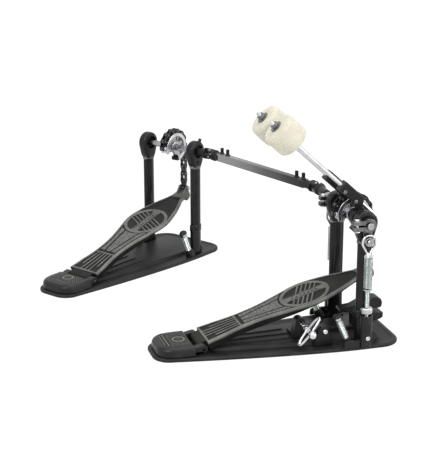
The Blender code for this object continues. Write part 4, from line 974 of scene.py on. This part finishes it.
def rocker(word, side, body):
    """Split collar on the axle's end with two pinch ears, and the arm and roller that pull the spring."""
    inner = POST_X + 8.7
    low = (0.0, -ROCKER_DROP)

    def placed(shells):
        return moved([shell if side > 0 else mirrored(shell) for shell in shells], AXLE)

    split = np.concatenate((arc((0, 0), 10.4, 188, 532, 60), arc((0, 0), 5.3, 532, 188, 60)))
    shells = [along_x(split, inner, inner + 9.5)]
    for z in (1.4, -7.6):
        shells.append(box((inner + 0.4, -24.0, z), (inner + 9.1, -8.0, z + 6.2)))
    shells.append(along_x(strap((0, 0), 8.6, low, 6.0), inner, inner + 3.4))
    build(f"{word}_rocker_casting", body, "gunmetal", placed(shells), bevel=0.7,
          stands_for=(f"{word}_rocker",))
    groove = ((3.0, 0), (6.3, 0), (6.6, 0.5), (5.9, 1.6), (5.7, 2.9), (5.9, 4.2), (6.6, 5.3), (6.3, 5.8),
              (3.0, 5.8))
    roller = turned((SPRING_X - 2.9, *low), X_AXIS, groove, 44)
    head = ((3.4, 0), (3.4, 10.6), (4.4, 10.8), (4.4, 12.0), (3.6, 12.8), (2.0, 12.8), (1.6, 11.6))
    pin = turned((inner + 2, *low), X_AXIS, head, 32)
    nose_line = ((5.0, 0), (5.0, 4.4), (4.4, 5.2), (2.2, 5.2), (1.8, 4.4))
    nose = turned((inner + 8.5, 0, 0), X_AXIS, nose_line, 36)
    build(f"{word}_roller", body, "steel", placed((roller, pin, nose)), sharp=40)
    bolt_x, bolt_y = inner + 4.7, -17.5
    bolt = [between((bolt_x, bolt_y, -8.6), (bolt_x, bolt_y, 8.6), 2.2, 20),
            hex_bolt((bolt_x, bolt_y, 7.4), Z_AXIS, 4.2, 3.0),
            hex_bolt((bolt_x, bolt_y, -7.4), -Z_AXIS, 4.0, 2.6)]
    build(f"{word}_pinch_bolt", body, "chrome", placed(bolt), bevel=0.2)


def spring_set(word, side):
    """Return spring: cup bracket, tension rod, knurled nut, close coil and the wire loop round the roller."""
    x = side * SPRING_X
    foot, head = f"{word}_spring_foot", f"{word}_spring_head"
    cup_line = ((8.2, 0), (8.9, 0.6), (8.9, 48.1), (8.4, 48.9), (6.9, 48.9), (6.5, 48.3), (6.5, 20.0))
    cup = turned((x, 0, SEAT_Z), Z_AXIS, cup_line, 48)
    x0, x1 = sorted((side * (POST_X + 8.2), side * (SPRING_X + 2.4)))
    shoe = box((x0, -10.4, SEAT_Z), (x1, 10.4, 14.2))
    x0, x1 = sorted((side * (SPRING_X - 2), side * (SPRING_X + 2.4)))
    rail = along_x(((-34, SEAT_Z), (-8, SEAT_Z), (-8, 16.2), (-29, 16.2), (-33, 13.5)), x0, x1)
    build(f"{word}_spring_cup", "stand", "casting", [cup, shoe, rail], bevel=0.7,
          stands_for=(f"{word}_spring_bracket",))
    screw_line = ((3.4, 0), (3.4, 1.2), (2.8, 1.8), (1.6, 1.8), (1.4, 1.0))
    screw = turned((side * (SPRING_X + 8.2), 0, 20.5), side * X_AXIS, screw_line, 28)
    build(f"{word}_cup_screw", "stand", "chrome", [screw])
    rod_line = [(2.2, 0), *((2.9, v) for v in np.linspace(0.6, 54.4, 160)), (6.5, 54.6), (6.5, 57.0)]
    rod = turned((x, 0, 38.0), Z_AXIS, rod_line, 28, thread(0.22, 1.2, 1, 53.5))
    build(f"{word}_tension_screw", foot, "zinc", [rod], sharp=60, stands_for=(f"{word}_tension_rod",))
    nut_line = ((3.2, 1.6), (6.6, 1.6), (8.0, 2.4), (8.2, 3.0), (8.2, 9.0), (7.9, 9.8), (5.8, 10.9),
                (3.2, 10.9))
    nut = turned((x, 0, SPRING_FOOT_Z), Z_AXIS, nut_line, 144, knurl(0.3, 36, 2.5, 9.5))
    build(f"{word}_thumb_nut", f"{word}_nut", "chrome", [nut], sharp=60, stands_for=(f"{word}_tension_nut",))
    coil(word, x)
    wire_loop(word, x, head)


def wire_loop(word, x, head):
    """Wire round the roller and down two slants to the coil's top, and the plug that closes the coil."""
    bend, centre = 9.4, AXLE_Z - ROCKER_DROP
    lower, tail = centre - 2.4, centre - 20.5
    reach = math.degrees(math.acos(bend / (lower - tail)))
    ring = np.concatenate((arc((0, lower), bend, -90 + reach, 0, 5), arc((0, centre), bend, 4, 176, 34),
                           arc((0, lower), bend, 180, 270 - reach, 5),
                           ((-1.6, tail + 1.5), (0.0, tail + 0.6), (1.6, tail + 1.5))))
    wire = tube(standing(ring, x), 1.75, X_AXIS, 18, closed=True)
    plug_line = ((5.2, 0), (6.5, 0.3), (6.5, 2.2), (5.4, 3.2), (3.6, 5.2), (3.0, 7.4))
    plug = turned((x, 0, COIL_TOP), Z_AXIS, plug_line, 36)
    build(f"{word}_wire_loop", head, "chrome", [wire, plug], sharp=40, stands_for=(f"{word}_spring_loop",))


def coil(word, x):
    """Close-wound coil: a wire carried along a helix, circle across the helix's own direction."""
    turns, wire, outer = 27, 1.42, 13.0
    radius = (outer - wire) / 2
    low, high = COIL_BOTTOM + wire / 2 + 0.2, COIL_TOP - wire / 2 - 0.2
    a = np.linspace(0, TAU * turns, turns * 28)
    path = np.stack((x + radius * np.cos(a), radius * np.sin(a), low + (high - low) * a / a[-1]), -1)
    made = build(f"{word}_coil", None, "zinc", [tube(path, wire / 2, Z_AXIS, 10)], sharp=60)
    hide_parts(f"{word}_spring")
    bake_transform(made)


# Drive shaft between the pedals

def fork(reach):
    """Joint fork with its pin along Y at the origin; the barrel leads away along -X."""
    barrel = ((6.4, 0), (7.0, 0.6), (7.0, reach - 14.5), (9.2, reach - 13.4), (9.6, reach - 12.6),
              (9.6, reach - 10.8), (9.0, reach - 10.2), (4.0, reach - 10.0))
    shells = [turned((-reach, 0, 0), X_AXIS, barrel, 40)]
    outline = np.concatenate((arc((0, 0), 4.3, -90, 90, 16), ((-11.5, 4.6), (-11.5, -4.6))))
    for side in SIDES.values():
        shells.append(loft([np.insert(outline, 1, side * y, axis=1) for y in (6.0, 9.1)]))
    return shells


def cross():
    """Spider: a block with a pin pair along Y and one along Z, each with its bearing cap."""
    shells = [box((-3.4, -3.4, -3.4), (3.4, 3.4, 3.4))]
    for axis in (Y_AXIS, Z_AXIS):
        shells.append(turned(-9.6 * axis, axis, ((1.2, 0), (2.1, 0.5), (2.1, 18.7), (1.2, 19.2)), 24))
    return shells


def drive():
    """Joint centres and pins of the shaft, then its bar, sliding rod, forks, spiders and set bolts."""
    slave_axis = np.array((math.cos(SLAVE_YAW), math.sin(SLAVE_YAW), 0.0))
    slave_middle = np.array((*SLAVE_AT, AXLE_Z))
    near = slave_middle + slave_axis * SLAVE_JOINT_X
    far = np.array((MAIN_JOINT_X, 0.0, AXLE_Z))
    shaft, length = unit(far - near), np.linalg.norm(far - near)
    sideways = unit(np.cross(Z_AXIS, slave_axis))
    slave_pin = sideways * math.cos(MID_TURN) + Z_AXIS * math.sin(MID_TURN)
    link_pin = unit(np.cross(shaft, slave_pin))
    main_pin = unit(np.cross(link_pin, X_AXIS))
    bar = along_x(((6.2, 6.6), (-6.2, 6.6), (-6.2, -6.6), (6.2, -6.6)), 22.0, length - 27)
    build("link_bar", "link", "bar", [at(bar, near, facing(shaft, np.cross(Z_AXIS, shaft)))], bevel=0.9,
          stands_for=("link_tube", "link_rod"))
    ends = moved(fork(26), near, facing(-shaft, link_pin)) + moved(fork(36), far, facing(shaft, link_pin))
    rod = turned(near + shaft * (length - 60), shaft, ((4.5, 0), (4.5, 34)), 32)
    ring = turned(near + shaft * 21, shaft, ((6.0, 0), (8.0, 0.4), (8.0, 3.6), (6.0, 4.0)), 40)
    build("link_forks", "link", "casting", [*ends, rod, ring], bevel=0.35)
    bolts = []
    for along in (30.0, 45.0, length - 49.0, length - 33.0):
        bolts += key_bolt(near + shaft * along + (0, 0, 6.4), Z_AXIS, 0.95, 11.0)
    build("link_bolts", "link", "casting", bolts, bevel=0.3)
    for word, centre, pin in (("slave", near, slave_pin), ("main", far, main_pin)):
        turn = facing(np.cross(pin, link_pin), pin)
        build(f"{word}_cross_pins", f"{word}_spider", "steel", moved(cross(), centre, turn), bevel=0.3,
              stands_for=(f"{word}_cross",))
    axles = (("slave_axle_shaft", "slave_axle", slave_middle - slave_axis * 61.5, near - slave_axis * 20),
             ("left_shaft_bar", "left_shaft", far + (30, 0, 0), (-BEATER_X - 0.4, 0, AXLE_Z)),
             ("main_axle_bar", "main_axle", (-BEATER_X, 0, AXLE_Z), (76, 0, AXLE_Z)))
    for name, node, start, end in axles:
        build(name, f"{node}_set", "steel", [between(start, end, AXLE_RADIUS, 36)], stands_for=(node,))
    tips = (("slave_axle", 27, near, slave_axis, slave_pin), ("left_shaft", 41, far, -X_AXIS, main_pin))
    for node, reach, centre, away, pin in tips:
        shells = moved(fork(reach), centre, facing(away, pin))
        build(f"{node}_fork", f"{node}_set", "casting", shells, bevel=0.35)


# Hoop clamp

def hoop_clamp():
    """Clamp frame: a fixed jaw, a runner to the screw's pillar and two ears; the moving jaw and its pin."""
    low, gap_low, gap_high, front = 9.35, 31.5, 37.5, 52.0
    lower = np.concatenate((((8, low), (30, low), (36, 18.5), (46, 21.0)),
                            arc((front - 4, 26), 4, -60, 0, 6),
                            ((front, gap_low), (35, gap_low), (31, 28), (8, 28))))
    pillar = np.concatenate((((SCREW_Y - 11, low), (SCREW_Y + 12, low)),
                             arc((SCREW_Y, SCREW_Z), 7.4, 10, 170, 14)))
    shells = [along_x(lower, -14, 14), box((-10, SCREW_Y - 10, low), (10, 20, low + 5)),
              along_x(pillar, 8, 23)]
    for side in SIDES.values():
        ear = strap(CLAMP_PIVOT, 5.6, (CLAMP_PIVOT[0], 28.0), 9.0)
        shells.append(along_x(ear, side * 9.95, side * 13.6))
    build("clamp_casting", "stand", "casting", shells, bevel=0.9, stands_for=("hoop_clamp_frame",))
    pin = [turned((-15, *CLAMP_PIVOT), X_AXIS, ((2.0, 0), (2.6, 0.5), (2.6, 29.5), (2.0, 30)), 28),
           hex_bolt((13.4, *CLAMP_PIVOT), X_AXIS, 4.4, 2.6)]
    build("clamp_pin", "stand", "steel", pin)
    nose = arc((front - 11, gap_high + 7), 11, -38, 105, 22)
    jaw = np.concatenate((((-16, 37.0), (6, 34.0), (30, 35.6), (35, gap_high), (front - 5.5, gap_high)),
                          nose,
                          ((CLAMP_PIVOT[0] + 6, 51.5), (CLAMP_PIVOT[0] - 4, 49.5), (4, 44), (-16, 42))))
    build("clamp_jaw_casting", "clamp_jaw", "casting", [along_x(jaw, -9.5, 9.5)], bevel=1.2,
          stands_for=("hoop_clamp_jaw",))
    grip = [box((-8.6, 36.5, gap_high - 0.15), (8.6, 46.0, gap_high + 1.0))]
    build("clamp_jaw_grip", "clamp_jaw", "rubber", grip, bevel=0.4)


def wing():
    """Wing: a slim oval ring, its band a rounded strip carried round an ellipse, with a stem and a ball."""
    x0, x1, half, band, lean = 51.0, 68.5, 26.5, 3.2, math.radians(52)
    around = np.linspace(0, TAU, 72, endpoint=False)
    path = np.stack(((x0 + x1) / 2 + (x1 - x0 - band) / 2 * np.cos(around),
                     (half - band / 2) * np.sin(around), np.zeros_like(around)), -1)
    along = unit(np.roll(path, -1, 0) - np.roll(path, 1, 0))
    side = np.cross(along, Z_AXIS)
    a = np.linspace(0, TAU, 20, endpoint=False)
    strip = ((np.cos(a), band / 2), (np.sin(a), 1.6))
    flat, thick = (np.sign(v) * np.abs(v) ** 0.7 * size for v, size in strip)
    rings = path[:, None] + flat[None, :, None] * side[:, None] + thick[None, :, None] * Z_AXIS
    ring = at(loft(rings, closed=True), turn=spin(0, lean))
    stem_line = [(2.4, 0), *((2.9, v) for v in np.linspace(0.6, 33, 110)), (3.0, 34), (4.9, 36), (5.0, 38),
                 (5.0, 39.4), (4.2, 41.4)]
    stem = turned((12, 0, 0), X_AXIS, stem_line, 32, thread(0.2, 1.25, 1, 32))
    dome = np.linspace(-1.2, math.pi / 2 - 0.08, 14)
    ball_line = [(4.2, -8.0), (4.2, -5.6), *((6.0 * math.cos(v), 6.0 * math.sin(v)) for v in dome)]
    ball = turned((74.5, 0, 0), X_AXIS, ball_line, 40)
    shells = moved((ring, stem, ball), (0, SCREW_Y, SCREW_Z))
    build("wing_ring", "wing", "chrome", shells, sharp=60, stands_for=("wing_screw",))


def side_fittings():
    """Block on the main base's right edge, and its screw."""
    outline = ((-72, 4), (-42, 4), (-46, 20), (-52, 33), (-62, 33), (-70, 16))
    build("side_block", "stand", "casting", [along_x(outline, 39.2, 50.0)], bevel=1.4)
    screw_line = ((3.6, 0), (3.6, 1.0), (3.0, 1.8), (1.5, 1.8), (1.3, 1.0))
    build("side_screw", "stand", "chrome", [turned((49.8, -55.0, 26.0), X_AXIS, screw_line, 28)])


def pedal(p, place):
    """What both pedals share, carried to a pedal's place."""
    base_plate(p, place)
    heel_block(p, place)
    footboard(p, place)
    for word, side in SIDES.items():
        post(p, place, word, side)
        bearing_cap(p, place, word, side)
        spur(p, place, word, side)
    cam(p, place)
    chain(p, place)


def dress_nodes():
    """Every CAD node gets the procedural finish of its slot."""
    for row in frame["record"]["subparts"]:
        shown = frame["nodes"][row["node"]]
        shown.data.materials.clear()
        shown.data.materials.append(FINISHES[NODE_FINISHES[row["material_slot"]]])


# Stage

def aimed(place, x, y, z):
    """World matrix from a place and three directions."""
    matrix = np.eye(4)
    matrix[:3] = np.stack((x, y, z, place), -1)
    return Matrix(matrix.tolist())


def lamp(name, place, size, power):
    """Soft square lamp aimed at the middle of the set; places in metres."""
    light = bpy.data.lights.new(name, "AREA")
    light.shape, light.size, light.energy = "SQUARE", size, power
    made = bpy.data.objects.new(name, light)
    bpy.context.scene.collection.objects.link(made)
    z = unit(np.subtract(place, LAMP_TARGET))
    x = unit(np.cross(Z_AXIS, z)) if abs(z[2]) < 0.99 else X_AXIS
    made.matrix_world = aimed(place, x, np.cross(z, x), z)


def white_where_seen(tree, plain, seen):
    """Mix that shows one shader to camera, mirror and glass rays, and another to the rest."""
    path = tree.nodes.new("ShaderNodeLightPath")
    total = path.outputs["Is Camera Ray"]
    for ray in ("Is Glossy Ray", "Is Transmission Ray"):
        widest = tree.nodes.new("ShaderNodeMath")
        widest.operation = "MAXIMUM"
        tree.links.new(total, widest.inputs[0])
        tree.links.new(path.outputs[ray], widest.inputs[1])
        total = widest.outputs[0]
    return mixed(tree, total, plain, seen)


def mixed(tree, factor, first, second):
    """Mix of two shaders; the factor is a number or a socket."""
    mix = tree.nodes.new("ShaderNodeMixShader")
    if isinstance(factor, float):
        mix.inputs[0].default_value = factor
    else:
        tree.links.new(factor, mix.inputs[0])
    tree.links.new(first, mix.inputs[1])
    tree.links.new(second, mix.inputs[2])
    return mix.outputs[0]


def source(tree, kind, tone, strength=None):
    """A shader of one tone, and of a strength where it has one."""
    made = tree.nodes.new(kind)
    made.inputs["Color"].default_value = (tone, tone, tone, 1)
    if strength is not None:
        made.inputs["Strength"].default_value = strength
    return made.outputs[0]


def empty_tree(owner):
    """The cleared node tree of a world or a material."""
    owner.use_nodes = True
    owner.node_tree.nodes.clear()
    return owner.node_tree


def stage():
    """White floor that keeps a faint shadow, a white surround, soft lamps and the photograph's camera."""
    scene = bpy.context.scene
    scene.view_settings.view_transform = "Standard"
    scene.world = bpy.data.worlds.new("studio")
    tree = empty_tree(scene.world)
    light = source(tree, "ShaderNodeBackground", 1, WORLD_LIGHT)
    seen = source(tree, "ShaderNodeBackground", 1, 1.0)
    out = tree.nodes.new("ShaderNodeOutputWorld")
    tree.links.new(white_where_seen(tree, light, seen), out.inputs[0])

    bpy.ops.mesh.primitive_plane_add(size=40.0, location=(0, 0, -0.0004))
    floor = bpy.context.object
    floor.name = "studio_floor"
    paint = bpy.data.materials.new("floor_paint")
    tree = empty_tree(paint)
    matte = source(tree, "ShaderNodeBsdfDiffuse", 0.9)
    glow = source(tree, "ShaderNodeEmission", 1, FLOOR_GLOW)
    shadowed = mixed(tree, FLOOR_GLOW_SHARE, matte, glow)
    out = tree.nodes.new("ShaderNodeOutputMaterial")
    tree.links.new(white_where_seen(tree, matte, shadowed), out.inputs[0])
    floor.data.materials.append(paint)
    for row in LAMPS:
        lamp(*row)

    level_run = math.cos(CAMERA_PITCH)
    sight = np.array((-math.sin(CAMERA_YAW) * level_run, math.cos(CAMERA_YAW) * level_run,
                      -math.sin(CAMERA_PITCH)))
    right = np.array((math.cos(CAMERA_YAW), math.sin(CAMERA_YAW), 0.0))
    data = bpy.data.cameras.new("photo_camera")
    data.sensor_fit, data.sensor_width = "HORIZONTAL", SENSOR
    data.lens = FOCAL_PIXELS * SENSOR / PHOTO_WIDTH
    camera = bpy.data.objects.new("photo_camera", data)
    scene.collection.objects.link(camera)
    camera.matrix_world = aimed(np.multiply(CAMERA_AT, MM), right, np.cross(right, sight), -sight)
    scene.camera = camera


stage()
dress_nodes()
pedal("main", TO_MAIN)
pedal("slave", TO_SLAVE)
beater("right", 1, "main_axle_set", (BEATER_X - 7, BEATER_X + 7))
beater("left", -1, "left_shaft_set", (-BEATER_X - 9, -BEATER_X + 8))
for WORD, BODY in (("right", "main_axle_set"), ("left", "left_shaft_set")):
    rocker(WORD, SIDES[WORD], BODY)
    spring_set(WORD, SIDES[WORD])
drive()
hoop_clamp()
wing()
side_fittings()
